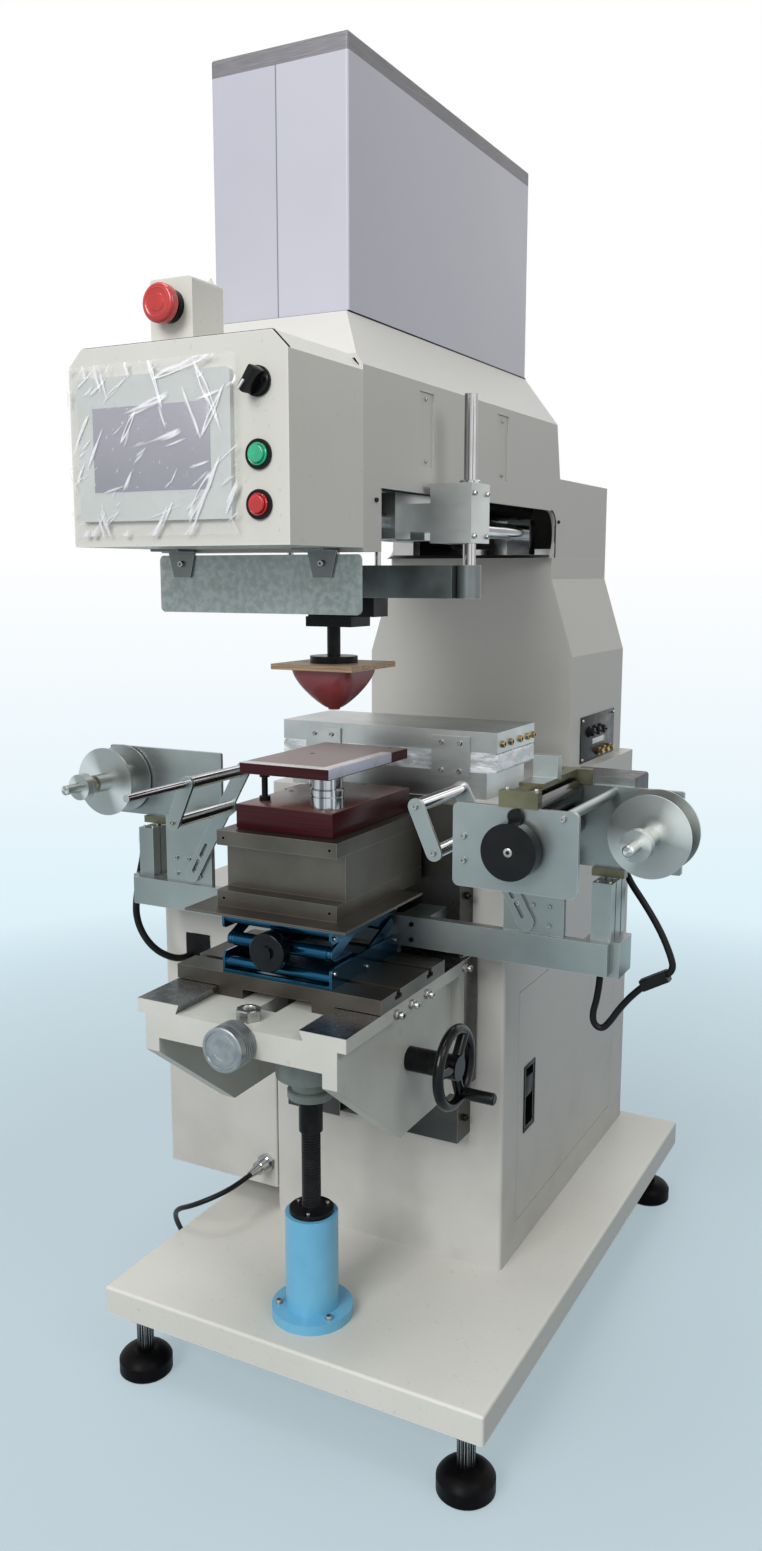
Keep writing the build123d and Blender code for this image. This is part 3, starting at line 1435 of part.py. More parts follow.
# Cords, in the machine's own frame: each is straight runs joined by tangent arcs
floor_rest = cord_radius + 0.2
power_route = [
    (-209, -107, 215), (-209, -135, 215), (-217, -162, 211), (-237, -182, 202), (-264, -187, 188),
    (-294, -178, 172), (-317, -158, 146), (-328, -132, 108), (-332, -103, 66), (-336, -70, 30),
    (-344, -34, 9), (-354, 4, floor_rest), (-363, 40, floor_rest), (-368, 74, floor_rest),
]
hose_route = [
    (-383, -124, 730), (-383, -124, 711), (-390, -125, 685), (-395, -126, 657), (-399, -127, 631),
    (-400, -126, 612), (-395, -125, 592), (-384, -122, 572), (-371, -115, 556), (-359, -103, 545),
    (-351, -88, 538), (-348, -72, 536), (-348, -59, 536),
]
cable_route = [
    (350, -65, 804), (350, -65, 778), (362, -68, 748), (386, -70, 718), (408, -72, 686), (423, -75, 656),
    (428, -76, 638), (414, -77, 626), (396, -78, 616), (377, -79, 598), (360, -80, 576), (348, -80.5, 556),
    (338, -81, 544), (327, -82, 549), (325, -84, 564), (331, -85.5, 586), (335, -86.4, 618), (336, -87, 666),
    (336, -87, 712),
]
coil_pitch = 8.8
coil_mid_radius = 45.0
coil_layer_turns = 2.5
coil_tail_reach = 62.0
coil_tail_offset = 24.0
plug_radius = 12.5
plug_length = 38.0
arc_share = 0.45


def route_radii(points):
    """The largest arc that each corner's two runs allow."""
    radii = []
    for before, corner, after in zip(points, points[1:], points[2:]):
        run_in = Vector(*corner) - Vector(*before)
        run_out = Vector(*after) - Vector(*corner)
        half_turn = math.radians(run_in.get_angle(run_out)) / 2
        radii.append(arc_share * min(run_in.length, run_out.length) / math.tan(half_turn))
    return radii


def keep_cord(name, points, radius):
    """A tube along a route, given in the machine's own frame."""
    radii = route_radii(points)
    path = FilletPolyline(*points, radius=radii)
    start = Vector(*points[0])
    plane = Plane(origin=start, z_dir=Vector(*points[1]) - start)
    tube = sweep(plane * Circle(radius), path=path)
    section = math.pi * radius ** 2
    print(name, "length", round(path.length, 1), "tightest arc", round(min(radii), 1),
          "volume share", round(tube.volume / (section * path.length), 4))
    export_step(tube.solids()[0], f"parts/{name}.step")
    return path.length




def biarc(start, start_way, end, end_way):
    """Two arcs that join two points and keep both directions."""
    chord = end - start
    both = start_way + end_way
    bend = 2 * (1 - start_way.dot(end_way))
    if bend < 1e-9:
        reach = chord.dot(chord) / (4 * chord.dot(end_way))
    else:
        across = chord.dot(both)
        reach = (math.sqrt(across ** 2 + bend * chord.dot(chord)) - across) / bend
    middle = (start + end + (start_way - end_way) * reach) * 0.5
    middle_way = ((end - end_way * reach) - (start + start_way * reach)).normalized()
    return [TangentArc(start, middle, tangent=start_way), TangentArc(middle, end, tangent=middle_way)]


def coil_place(turn, centre, start_angle):
    """A point of the coil: in along the floor, up a layer, and out again on top."""
    outer = coil_mid_radius + coil_pitch * coil_layer_turns / 2
    radius = outer - coil_pitch * min(turn, 2 * coil_layer_turns - turn)
    climb = min(max((turn - coil_layer_turns + 0.25) * 2, 0), 1)
    height = floor_rest + coil_pitch * climb ** 2 * (3 - 2 * climb)
    angle = start_angle - math.tau * turn
    return Vector(centre.X + radius * math.cos(angle), centre.Y + radius * math.sin(angle), height)


def make_coil():
    """The cord's spare length: two flat layers wound from one unbroken tube, then its tail."""
    diameter = 2 * cord_radius
    arrival = Vector(*power_route[-1])
    way = (arrival - Vector(*power_route[-2])).normalized()
    inward = Vector(way.Y, -way.X, 0)
    outer = coil_mid_radius + coil_pitch * coil_layer_turns / 2
    first = arrival + way * diameter
    centre = first + inward * outer
    start_angle = math.atan2(-inward.Y, -inward.X)
    total = 2 * coil_layer_turns
    count = int(total * 4)
    step = 0.0005
    edges = [Line(arrival, first)]
    spot, heading = first, way
    for index in range(1, count + 1):
        turn = total * index / count
        ahead = coil_place(turn, centre, start_angle)
        near = coil_place(turn - step, centre, start_angle)
        ahead_way = way if index == count else (ahead - near).normalized()
        edges += biarc(spot, heading, ahead, ahead_way)
        spot, heading = ahead, ahead_way
    tail = spot + way * coil_tail_reach - inward * coil_tail_offset
    edges += biarc(spot, way, tail, way)
    finish = tail + way * diameter
    edges.append(Line(tail, finish))
    path = Wire([piece.edge() for piece in edges])
    samples = [path @ (index / 1500) for index in range(1501)]
    skip = int(1500 * 3 * diameter / path.length)
    least = min((samples[i] - samples[j]).length for i in range(0, 1501, 3) for j in range(i + skip, 1501, 3))
    section = Plane(origin=arrival, z_dir=way) * Circle(cord_radius)
    tube = sweep(section, path=path)
    share = tube.volume / (math.pi * cord_radius ** 2 * path.length)
    print("coil length", round(path.length, 1), "least gap to itself", round(least - diameter, 2),
          "volume share", round(share, 4))
    return tube.solids()[0], finish, way


def make_plug(mouth, way):
    """Moulded plug with two round pins."""
    plane = Plane(origin=mouth, x_dir=Vector(way.Y, -way.X, 0), z_dir=way)
    entry = loft([plane * Circle(cord_radius + 1.5), plane.offset(plug_length * 0.45) * Circle(plug_radius)])
    body = extrude(plane.offset(plug_length * 0.45) * Circle(plug_radius), plug_length * 0.55)
    plug = entry + body
    for side in (-1, 1):
        plug += extrude(plane.offset(plug_length) * Pos(side * 9.5, 0) * Circle(2.4), 19)
    return plug


def make_connector():
    """In-line connector on the film motor's cable."""
    low, high = Vector(*cable_route[8]), Vector(*cable_route[7])
    way = (high - low).normalized()
    plane = Plane(origin=low - way * 8, z_dir=way)
    return extrude(plane * RectangleRounded(15, 19, 3), (high - low).length + 16)


keep_cord("cylinder_hose", hose_route, hose_radius)
keep_cord("motor_cable", cable_route, cable_radius)
keep_cord("power_cord", power_route, cord_radius)
coil, plug_mouth, plug_way = make_coil()
export_step(coil, "parts/power_cord_coil.step")
export_step(make_plug(plug_mouth, plug_way).solids()[0], "parts/power_plug.step")
export_step(make_connector().solids()[0], "parts/cable_connector.step")
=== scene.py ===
import math

import bmesh
import bpy
from mathutils import Matrix, Vector


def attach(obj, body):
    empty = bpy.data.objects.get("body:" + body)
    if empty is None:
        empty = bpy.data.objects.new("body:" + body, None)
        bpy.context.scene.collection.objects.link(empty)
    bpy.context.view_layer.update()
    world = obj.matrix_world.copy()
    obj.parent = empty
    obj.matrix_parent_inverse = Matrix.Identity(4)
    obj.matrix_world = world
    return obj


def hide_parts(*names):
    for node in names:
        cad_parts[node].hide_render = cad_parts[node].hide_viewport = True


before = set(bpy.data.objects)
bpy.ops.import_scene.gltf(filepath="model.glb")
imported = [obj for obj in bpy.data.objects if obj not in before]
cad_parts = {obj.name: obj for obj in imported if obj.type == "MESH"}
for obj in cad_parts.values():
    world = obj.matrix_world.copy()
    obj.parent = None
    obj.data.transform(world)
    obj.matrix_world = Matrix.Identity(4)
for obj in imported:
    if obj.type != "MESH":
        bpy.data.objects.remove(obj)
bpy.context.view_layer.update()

# Camera and studio
# The machine stands on a plain pale floor and is seen from the front right, a little above its table,
# with even soft light from all sides and one large lamp in front of it.
image_size = (762, 1551)
focal_pixels = 1214.1
camera_place = Vector((0.7938, -1.5667, 1.1358))
camera_yaw = math.radians(27.90)
camera_pitch = math.radians(-9.40)
camera_roll = math.radians(-0.05)
sensor_height = 36.0

camera_data = bpy.data.cameras.new("camera")
camera_data.sensor_width = sensor_height
camera_data.lens = sensor_height * focal_pixels / image_size[1]
camera_data.clip_end = 50
camera = bpy.data.objects.new("camera", camera_data)
camera.location = camera_place
camera.rotation_euler = (math.pi / 2 + camera_pitch, camera_roll, camera_yaw)
bpy.context.scene.collection.objects.link(camera)
bpy.context.scene.camera = camera
bpy.context.scene.view_settings.view_transform = "Standard"

for name, place, aim, size, power in (
        ("key_lamp", (-0.4, -6.4, 4.4), (0, 0, 0.9), 3.0, 315),
        ("top_lamp", (-0.3, -0.9, 6.0), (0, 0, 0.8), 2.2, 92),
        ("side_lamp", (2.0, -1.0, 2.2), (0, 0, 1.75), 1.0, 15),
        ("back_lamp", (0.6, 3.4, 3.0), (0, 0, 1.0), 2.4, 14)):
    lamp_data = bpy.data.lights.new(name, "AREA")
    lamp_data.size = size
    lamp_data.energy = power
    lamp = bpy.data.objects.new(name, lamp_data)
    lamp.location = place
    lamp.rotation_euler = (Vector(aim) - Vector(place)).to_track_quat("-Z", "Y").to_euler()
    bpy.context.scene.collection.objects.link(lamp)


class Value:
    """One shader output that Python arithmetic works on."""

    def __init__(self, nodes, socket):
        self.nodes = nodes
        self.socket = socket

    def maths(self, operation, first, second):
        return self.nodes.node("ShaderNodeMath", {"operation": operation}, {0: first, 1: second})

    def __add__(self, other):
        return self.maths("ADD", self, other)

    def __sub__(self, other):
        return self.maths("SUBTRACT", self, other)

    def __rsub__(self, other):
        return self.maths("SUBTRACT", other, self)

    def __mul__(self, other):
        return self.maths("MULTIPLY", self, other)

    def __pow__(self, other):
        return self.maths("POWER", self, other)

    __radd__ = __add__
    __rmul__ = __mul__


class Nodes:
    """The shader nodes of the studio or of a finish."""

    def __init__(self, tree):
        self.tree = tree

    def node(self, kind, settings=None, inputs=None, output=0):
        """A node of any kind: its settings, then the values or links of its sockets."""
        item = self.tree.nodes.new(kind)
        for setting, value in (settings or {}).items():
            setattr(item, setting, value)
        for socket, value in (inputs or {}).items():
            if isinstance(value, Value):
                self.tree.links.new(value.socket, item.inputs[socket])
            else:
                item.inputs[socket].default_value = value
        return Value(self, item.outputs[output])

    def between(self, value, low, high, to_low=0.0, to_high=1.0):
        """A value spread from one range to another and held there."""
        return self.node("ShaderNodeMapRange", None,
                         {"Value": value, 1: low, 2: high, 3: to_low, 4: to_high})

    def mix(self, amount, first, second):
        """Two colours mixed by a value."""
        first, second = (item if isinstance(item, Value) else (*item, 1.0) for item in (first, second))
        return self.node("ShaderNodeMix", {"data_type": "RGBA"}, {0: amount, 6: first, 7: second}, output=2)


sky = bpy.data.worlds.new("studio")
bpy.context.scene.world = sky
sky.use_nodes = True
sky.node_tree.nodes.clear()
studio = Nodes(sky.node_tree)
sky_way = studio.node("ShaderNodeTexCoord", output="Generated")
sky_lean = studio.node("ShaderNodeVectorMath", {"operation": "DOT_PRODUCT"},
                       {0: sky_way, 1: (-0.42, -0.62, 0.66)}, output="Value")
soft_light = studio.node("ShaderNodeBackground", None,
                         {"Color": (0.93, 0.96, 1.0, 1.0),
                          "Strength": studio.between(sky_lean, -0.6, 0.9, 0.10, 0.62)})
sky_height = studio.node("ShaderNodeSeparateXYZ", None, {0: sky_way}, output="Z")
sky_color = studio.mix(studio.between(sky_height, -0.30, 0.02), (0.70, 0.87, 0.95), (1, 1, 1))
backdrop = studio.node("ShaderNodeBackground", None, {"Color": sky_color, "Strength": 1.0})
seen = studio.node("ShaderNodeLightPath", output="Is Camera Ray")
for kind in ("Is Glossy Ray", "Is Transmission Ray"):
    seen = seen.maths("MAXIMUM", seen, studio.node("ShaderNodeLightPath", output=kind))
sky_mix = studio.node("ShaderNodeMixShader", None, {0: seen, 1: soft_light, 2: backdrop})
sky_out = sky.node_tree.nodes.new("ShaderNodeOutputWorld")
sky.node_tree.links.new(sky_mix.socket, sky_out.inputs["Surface"])


class Finish(Nodes):
    """A node material for one real finish, built on the principled shader."""

    def __init__(self, name, roughness=0.5, metallic=0.0, **sockets):
        self.material = bpy.data.materials.new(name)
        self.material.use_nodes = True
        super().__init__(self.material.node_tree)
        self.shader = self.tree.nodes["Principled BSDF"]
        for socket, value in {"Roughness": roughness, "Metallic": metallic, **sockets}.items():
            self.shader.inputs[socket.replace("_", " ")].default_value = value

    def place(self, stretch=(1, 1, 1)):
        """The piece's own coordinates, stretched along its axes."""
        spot = self.node("ShaderNodeTexCoord", output="Object")
        return self.node("ShaderNodeVectorMath", {"operation": "MULTIPLY"}, {0: spot, 1: stretch})

    def noise(self, scale, detail=3.0, stretch=(1, 1, 1)):
        return self.node("ShaderNodeTexNoise", None,
                         {"Vector": self.place(stretch), "Scale": scale, "Detail": detail})

    def bands(self, value):
        """Uneven bands along one changing value."""
        return self.node("ShaderNodeTexNoise", {"noise_dimensions": "1D"},
                         {"W": value, "Scale": 1.0, "Detail": 2.0})

    def axis(self, letter):
        spot = self.node("ShaderNodeTexCoord", output="Object")
        return self.node("ShaderNodeSeparateXYZ", None, {0: spot}, output=letter)

    def facing(self, letter):
        """How far a face looks along an axis."""
        normal = self.node("ShaderNodeNewGeometry", output="Normal")
        return self.node("ShaderNodeSeparateXYZ", None, {0: normal}, output=letter)

    def worn_edge(self, width=0.0025):
        """How far a point is from an edge, from 0 on a flat face to 1 on the edge."""
        bent = self.node("ShaderNodeBevel", {"samples": 4}, {"Radius": width})
        normal = self.node("ShaderNodeNewGeometry", output="Normal")
        same = self.node("ShaderNodeVectorMath", {"operation": "DOT_PRODUCT"}, {0: bent, 1: normal},
                         output="Value")
        return self.between(same, 0.999, 0.9)

    def feed(self, **sockets):
        """Link values to the shader's sockets."""
        for socket, value in sockets.items():
            self.tree.links.new(value.socket, self.shader.inputs[socket.replace("_", " ")])
        return self

    def bump(self, height, strength=0.3, distance=0.001):
        normal = self.node("ShaderNodeBump", None,
                           {"Height": height, "Strength": strength, "Distance": distance})
        return self.feed(Normal=normal)

    def grain(self, scale, strength, distance, detail=3.0, stretch=(1, 1, 1)):
        """A fine unevenness all over the surface."""
        return self.bump(self.noise(scale, detail, stretch), strength, distance)

    def clouded(self, dark, light, scale, detail=4.0, spread=(0.35, 0.7), edge=None, rough=None):
        """Two shades in soft clouds, with worn edges and a roughness that follows the clouds."""
        cloud = self.between(self.noise(scale, detail), *spread)
        color = self.mix(cloud, dark, light)
        if edge:
            width, amount, bright = edge
            color = self.mix(self.worn_edge(width) * amount, color, bright)
        self.feed(Base_Color=color)
        if rough:
            self.feed(Roughness=cloud * rough[0] + rough[1])
        return self


def dress(piece, *finishes):
    """Give a piece its finishes in place of what it has."""
    piece.data.materials.clear()
    for finish in finishes:
        piece.data.materials.append(finish.material)


floor_size = 14.0
floor_form = bmesh.new()
bmesh.ops.create_grid(floor_form, x_segments=2, y_segments=2, size=floor_size)
floor_mesh = bpy.data.meshes.new("studio_floor")
floor_form.to_mesh(floor_mesh)
floor_form.free()
floor = bpy.data.objects.new("studio_floor", floor_mesh)
bpy.context.scene.collection.objects.link(floor)
floor_paint = Finish("studio floor", roughness=0.85)
floor_x = floor_paint.axis("X")
floor_y = floor_paint.axis("Y")
floor_reach = floor_x * floor_x + floor_y * floor_y
floor_paint.feed(
    Base_Color=floor_paint.mix(floor_paint.noise(2.0), (0.34, 0.39, 0.42), (0.37, 0.42, 0.45)),
    Alpha=floor_paint.between(floor_reach, 0.8, 6.0, 0.55, 0.0))
dress(floor, floor_paint)

# Cords: mains lead, cylinder hose and film motor cable
# The mains lead leaves a nickel gland in the switch box, drops behind the base and lies coiled on the
# floor. The hose runs from the left cylinder to the switch box, the cable from the motor to a sensor.
power_diameter = 0.008
power_route = [
    (-0.209, -0.107, 0.215), (-0.209, -0.135, 0.215), (-0.217, -0.162, 0.211), (-0.237, -0.182, 0.202),
    (-0.264, -0.187, 0.188), (-0.294, -0.178, 0.172), (-0.317, -0.158, 0.146), (-0.328, -0.132, 0.108),
    (-0.332, -0.103, 0.066), (-0.336, -0.070, 0.030), (-0.344, -0.034, 0.009), (-0.354, 0.004, 0.0042),
    (-0.363, 0.040, 0.0042), (-0.368, 0.074, 0.0042),
]
hose_diameter = 0.011
hose_route = [
    (-0.383, -0.124, 0.730), (-0.383, -0.124, 0.711), (-0.390, -0.125, 0.685), (-0.395, -0.126, 0.657),
    (-0.399, -0.127, 0.631), (-0.400, -0.126, 0.612), (-0.395, -0.125, 0.592), (-0.384, -0.122, 0.572),
    (-0.371, -0.115, 0.556), (-0.359, -0.103, 0.545), (-0.351, -0.088, 0.538), (-0.348, -0.072, 0.536),
    (-0.348, -0.059, 0.536),
]
cable_diameter = 0.009
cable_route = [
    (0.350, -0.065, 0.804), (0.350, -0.065, 0.778), (0.362, -0.068, 0.748), (0.386, -0.070, 0.718),
    (0.408, -0.072, 0.686), (0.423, -0.075, 0.656), (0.428, -0.076, 0.638), (0.414, -0.077, 0.626),
    (0.396, -0.078, 0.616), (0.377, -0.079, 0.598), (0.360, -0.080, 0.576), (0.348, -0.0805, 0.556),
    (0.338, -0.081, 0.544), (0.327, -0.082, 0.549), (0.325, -0.084, 0.564), (0.331, -0.0855, 0.586),
    (0.335, -0.0864, 0.618), (0.336, -0.087, 0.666), (0.336, -0.087, 0.712),
]

rubber_finish = Finish("black cable rubber", roughness=0.36, Specular_IOR_Level=0.14)
rubber_finish.feed(Base_Color=rubber_finish.mix(rubber_finish.noise(60.0), (0.005, 0.005, 0.0055),
                                                (0.013, 0.013, 0.014)))
rubber_finish.grain(900.0, 0.15, 0.0004)


def cord_curve(name, points, diameter):
    """A round cord along one smooth spline."""
    data = bpy.data.curves.new(name, "CURVE")
    data.dimensions = "3D"
    data.bevel_depth = diameter / 2
    data.bevel_resolution = 4
    data.resolution_u = 8
    data.use_fill_caps = True
    spline = data.splines.new("NURBS")
    spline.points.add(len(points) - 1)
    for point, place in zip(spline.points, points):
        point.co = (*place, 1)
    spline.order_u = 3
    spline.use_endpoint_u = True
    item = bpy.data.objects.new(name, data)
    bpy.context.scene.collection.objects.link(item)
    dress(item, rubber_finish)
    return item


coil_pitch = 0.0088
coil_middle = 0.045
coil_turns = 2.5
coil_steps = 24
tail_reach = 0.062
tail_offset = 0.024
arrival = Vector(power_route[-1])
coil_way = (arrival - Vector(power_route[-2])).normalized()
coil_inward = Vector((coil_way.y, -coil_way.x, 0))
coil_outer = coil_middle + coil_pitch * coil_turns / 2
coil_first = arrival + coil_way * power_diameter
coil_heart = coil_first + coil_inward * coil_outer
coil_start = math.atan2(-coil_inward.y, -coil_inward.x)
coil_points = [tuple(coil_first)]
for index in range(1, int(2 * coil_turns * coil_steps) + 1):
    turn = index / coil_steps
    radius = coil_outer - coil_pitch * min(turn, 2 * coil_turns - turn)
    climb = min(max((turn - coil_turns + 0.25) * 2, 0), 1)
    angle = coil_start - math.tau * turn
    coil_points.append((coil_heart.x + radius * math.cos(angle), coil_heart.y + radius * math.sin(angle),
                        arrival.z + coil_pitch * climb ** 2 * (3 - 2 * climb)))
coil_end = Vector(coil_points[-1])
tail = coil_end + coil_way * tail_reach - coil_inward * tail_offset
tail_points = [tuple(coil_end.lerp(tail, 0.5) + coil_inward * offset + coil_way * ahead)
               for offset, ahead in ((0.009, -0.012), (-0.009, 0.012))]
tail_points = [tuple(coil_end + coil_way * 0.012), *tail_points, tuple(tail),
               tuple(tail + coil_way * power_diameter)]

power_cord = cord_curve("mains_lead", power_route + coil_points + tail_points, power_diameter)
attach(power_cord, "frame")
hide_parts("power_cord", "power_cord_coil")
dress(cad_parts["power_plug"], rubber_finish)

air_hose = cord_curve("air_hose", hose_route, hose_diameter)
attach(air_hose, "frame")
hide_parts("cylinder_hose")

feed_cable = cord_curve("feed_cable", cable_route, cable_diameter)
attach(feed_cable, "frame")
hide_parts("motor_cable")
dress(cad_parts["cable_connector"], rubber_finish)

# Base plate
# A welded steel plate with rounded edges, sprayed in cream enamel, on which everything stands.
# Its top is a little scuffed where tools and feet have stood.
cream_finish = Finish("cream enamel", roughness=0.4, Specular_IOR_Level=0.3)
cream_cloud = cream_finish.between(cream_finish.noise(3.0, 5.0), 0.35, 0.7)
cream_specks = cream_finish.between(cream_finish.noise(160.0, 2.0), 0.66, 0.74)
cream_color = cream_finish.mix(cream_cloud, (0.57, 0.565, 0.51), (0.64, 0.635, 0.585))
cream_color = cream_finish.mix(cream_specks * 0.25, cream_color, (0.33, 0.32, 0.27))
cream_worn = cream_finish.mix(cream_finish.worn_edge() * 0.5, cream_color, (0.74, 0.74, 0.70))
cream_finish.feed(Base_Color=cream_worn, Roughness=cream_cloud * 0.12 + 0.32)
cream_finish.grain(420.0, 0.12, 0.0006, 2.0)


def smooth(piece, angle=35):
    """Round faces shade smoothly and edges stay crisp."""
    limit = math.radians(angle)
    form = bmesh.new()
    form.from_mesh(piece.data)
    for face in form.faces:
        face.smooth = True
    for edge in form.edges:
        edge.smooth = len(edge.link_faces) == 2 and edge.calc_face_angle(0) < limit
    form.to_mesh(piece.data)
    form.free()


def coat(name, *finishes):
    """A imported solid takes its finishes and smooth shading."""
    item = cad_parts[name]
    dress(item, *finishes)
    smooth(item)
    return item


coat("base_plate", cream_finish)

# Levelling feet
# Four black moulded pads on black oxide studs. Each stud is screwed into the base plate's underside
# and locked there by a thick zinc plated nut.
foot_finish = Finish("black moulded foot", roughness=0.4, Specular_IOR_Level=0.06)
foot_finish.clouded((0.003, 0.003, 0.0035), (0.008, 0.008, 0.008), 45.0, spread=(0.5, 0.75))
foot_finish.grain(700.0, 0.2, 0.0004)
zinc_bolt_finish = Finish("zinc plated bolt", roughness=0.3, metallic=0.95)
zinc_bolt_finish.clouded((0.30, 0.30, 0.29), (0.46, 0.46, 0.44), 90.0, rough=(0.2, 0.2))


def spot(x, y, z):
    """A place in millimetres from the base plate's front edge and top, in the machine's own frame."""
    return Vector((x, y - 353, z + 140)) / 1000


def faces_in(piece, low, high, number, facing=None, inward=False):
    """The faces with their middle inside a box take another of the piece's finishes."""
    low, high = spot(*low), spot(*high)
    middle = (low + high) / 2
    for face in piece.data.polygons:
        inside = all(low[axis] <= face.center[axis] <= high[axis] for axis in range(3))
        turned_in = not inward or face.normal.dot(middle - face.center) > 0
        if inside and turned_in and (facing is None or face.normal.dot(Vector(facing)) > 0.6):
            face.material_index = number


levelling_feet = coat("levelling_feet", foot_finish, zinc_bolt_finish)
faces_in(levelling_feet, (-300, 0, -60), (300, 903, -20), 1)

# Cabinet and its door
# Folded and welded sheet steel in a warm grey textured enamel, with a slightly lighter bloom on the
# corners and painted shade in blotches near the floor. The door has a black recessed pull.
grey_finish = Finish("warm grey enamel", roughness=0.44, Specular_IOR_Level=0.25)
grey_cloud = grey_finish.between(grey_finish.noise(2.2, 6.0), 0.32, 0.7)
grey_color = grey_finish.mix(grey_cloud, (0.50, 0.49, 0.455), (0.565, 0.555, 0.52))
# Painted shade: the enamel is darkened in blotches towards the floor.
grey_low = grey_finish.between(grey_finish.axis("Z"), 0.45, 0.14)
grey_low_shade = grey_low * grey_finish.between(grey_finish.noise(14.0, 6.0), 0.42, 0.7)
grey_color = grey_finish.mix(grey_low_shade * 0.3, grey_color, (0.28, 0.265, 0.235))
grey_color = grey_finish.mix(grey_finish.worn_edge(0.003) * 0.45, grey_color, (0.62, 0.61, 0.57))
grey_finish.feed(Base_Color=grey_color, Roughness=grey_cloud * 0.1 + 0.36)
grey_finish.grain(380.0, 0.16, 0.0007, 2.0)
plastic_finish = Finish("black moulded plastic", roughness=0.3, Specular_IOR_Level=0.14)
plastic_finish.clouded((0.004, 0.004, 0.0045), (0.009, 0.009, 0.010), 50.0, rough=(0.15, 0.24))
plastic_finish.grain(800.0, 0.08, 0.0003)


def slab(form, low, high, round_off=0.6):
    """A block between two corners in millimetres, with rounded edges."""
    low, high = spot(*low), spot(*high)
    place = Matrix.Translation((low + high) / 2) @ Matrix.Diagonal((*(high - low), 1))
    made = bmesh.ops.create_cube(form, size=1, matrix=place)
    edges = list({edge for corner in made["verts"] for edge in corner.link_edges})
    bmesh.ops.bevel(form, geom=edges, offset=round_off / 1000, segments=2, profile=0.5, affect="EDGES")


def slabs(round_off, *corners):
    """A new form of one or more blocks."""
    form = bmesh.new()
    for low, high in corners:
        slab(form, low, high, round_off)
    return form


def piece(name, form, body, slot, *finishes):
    """A visible piece from a form, riding on a body and painted with its finishes; the slot is not used."""
    data = bpy.data.meshes.new(name)
    bmesh.ops.recalc_face_normals(form, faces=form.faces)
    form.to_mesh(data)
    form.free()
    item = bpy.data.objects.new(name, data)
    bpy.context.scene.collection.objects.link(item)
    dress(item, *finishes)
    smooth(item)
    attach(item, body)
    return item


coat("lower_cabinet", grey_finish)
cabinet_door = coat("cabinet_door", grey_finish, plastic_finish)
faces_in(cabinet_door, (173, 380.5, 182.5), (189.8, 417.5, 278.5), 1)
pull_form = slabs(0.5, ((189.9, 377, 179), (191.6, 382, 282)), ((189.9, 416, 179), (191.6, 421, 282)),
                  ((189.9, 380, 179), (191.6, 418, 184)), ((189.9, 380, 277), (191.6, 418, 282)))
slab(pull_form, (180, 383, 231), (190.6, 415, 262), 2.0)
piece("door_pull", pull_form, "door", "black_plastic", plastic_finish)

# Pillar and its air service plate
# A welded tube that narrows towards the head. Its right side carries a black plate with three small
# regulators, push-in fittings of brass and a blank pale strip.
black_finish = Finish("black oxide", roughness=0.36, metallic=0.2, Specular_IOR_Level=0.14)
black_finish.clouded((0.004, 0.004, 0.005), (0.014, 0.014, 0.015), 40.0, 5.0,
                     edge=(0.0006, 0.35, (0.10, 0.095, 0.09)), rough=(0.16, 0.28))
black_finish.grain(500.0, 0.12, 0.0004)
brass_finish = Finish("brass", roughness=0.25, metallic=1.0)
brass_finish.clouded((0.27, 0.185, 0.08), (0.40, 0.29, 0.14), 60.0, rough=(0.2, 0.18))


def turned(form, start, way, outline, steps=32):
    """A turned solid of rings (radius, height, sides) in millimetres, with sides for a ring with flats."""
    start = spot(*start)
    turn = Vector(way).to_track_quat("Z", "Y").to_matrix()
    rings = []
    for radius, height, *sides in outline:
        ring = []
        for step in range(steps):
            angle = math.tau * step / steps
            reach = radius
            if sides:
                half = math.pi / sides[0]
                reach = radius / math.cos(angle % (2 * half) - half)
            local = Vector((reach * math.cos(angle), reach * math.sin(angle), height)) / 1000
            ring.append(form.verts.new(start + turn @ local))
        rings.append(ring)
    form.faces.new(rings[0][::-1])
    for lower, upper in zip(rings, rings[1:]):
        for step in range(steps):
            after = (step + 1) % steps
            form.faces.new((lower[step], lower[after], upper[after], upper[step]))
    form.faces.new(rings[-1])


def turnings(way, outline, steps, *starts):
    """A new form of one or more equal turned solids."""
    form = bmesh.new()
    for start in starts:
        turned(form, start, way, outline, steps)
    return form


def cap_screws(name, body, way, radius, places, finish=zinc_bolt_finish, slot="bright_steel"):
    """Socket cap screws with their heads on a face."""
    rise = radius * 1.1
    outline = [(radius, -0.1), (radius, rise * 0.85), (radius * 0.9, rise), (radius * 0.52, rise, 6),
               (radius * 0.5, rise * 0.4, 6)]
    return piece(name, turnings(way, outline, 24, *places), body, slot, finish)


plate_face = 177.6
coat("pillar", grey_finish)
piece("service_plate", slabs(0.6, ((175.9, 632, 696), (plate_face, 806, 771))), "frame", "black_plastic",
      plastic_finish)
dials = [(plate_face, y, 744) for y in (672, 700, 728)]
regulator_form = turnings((1, 0, 0), [(9, -0.1), (9, 3), (7, 3.4), (7, 9), (5.6, 10.5)], 24, *dials)
for dial in dials:
    turned(regulator_form, dial, (1, 0, 0), [(1.6, 10), (1.6, 13), (1.1, 13.5)], 12)
piece("service_regulators", regulator_form, "frame", "black_plastic", black_finish)
piece("service_strip", slabs(0.2, ((177.5, 690, 722), (178.1, 752, 731))), "frame", "bare_aluminium",
      zinc_bolt_finish)
fitting_form = turnings((1, 0, 0), [(6, -0.1, 6), (6, 5, 6), (4.6, 5.4), (4.6, 11), (3.8, 12)], 24,
                        *[(plate_face, y, 708) for y in (716, 744, 772)])
piece("service_fittings", fitting_form, "frame", "nickel", brass_finish)
cap_screws("service_screws", "frame", (1, 0, 0), 2.4, [(177.5, y, z) for z in (765, 702) for y in (638, 800)])

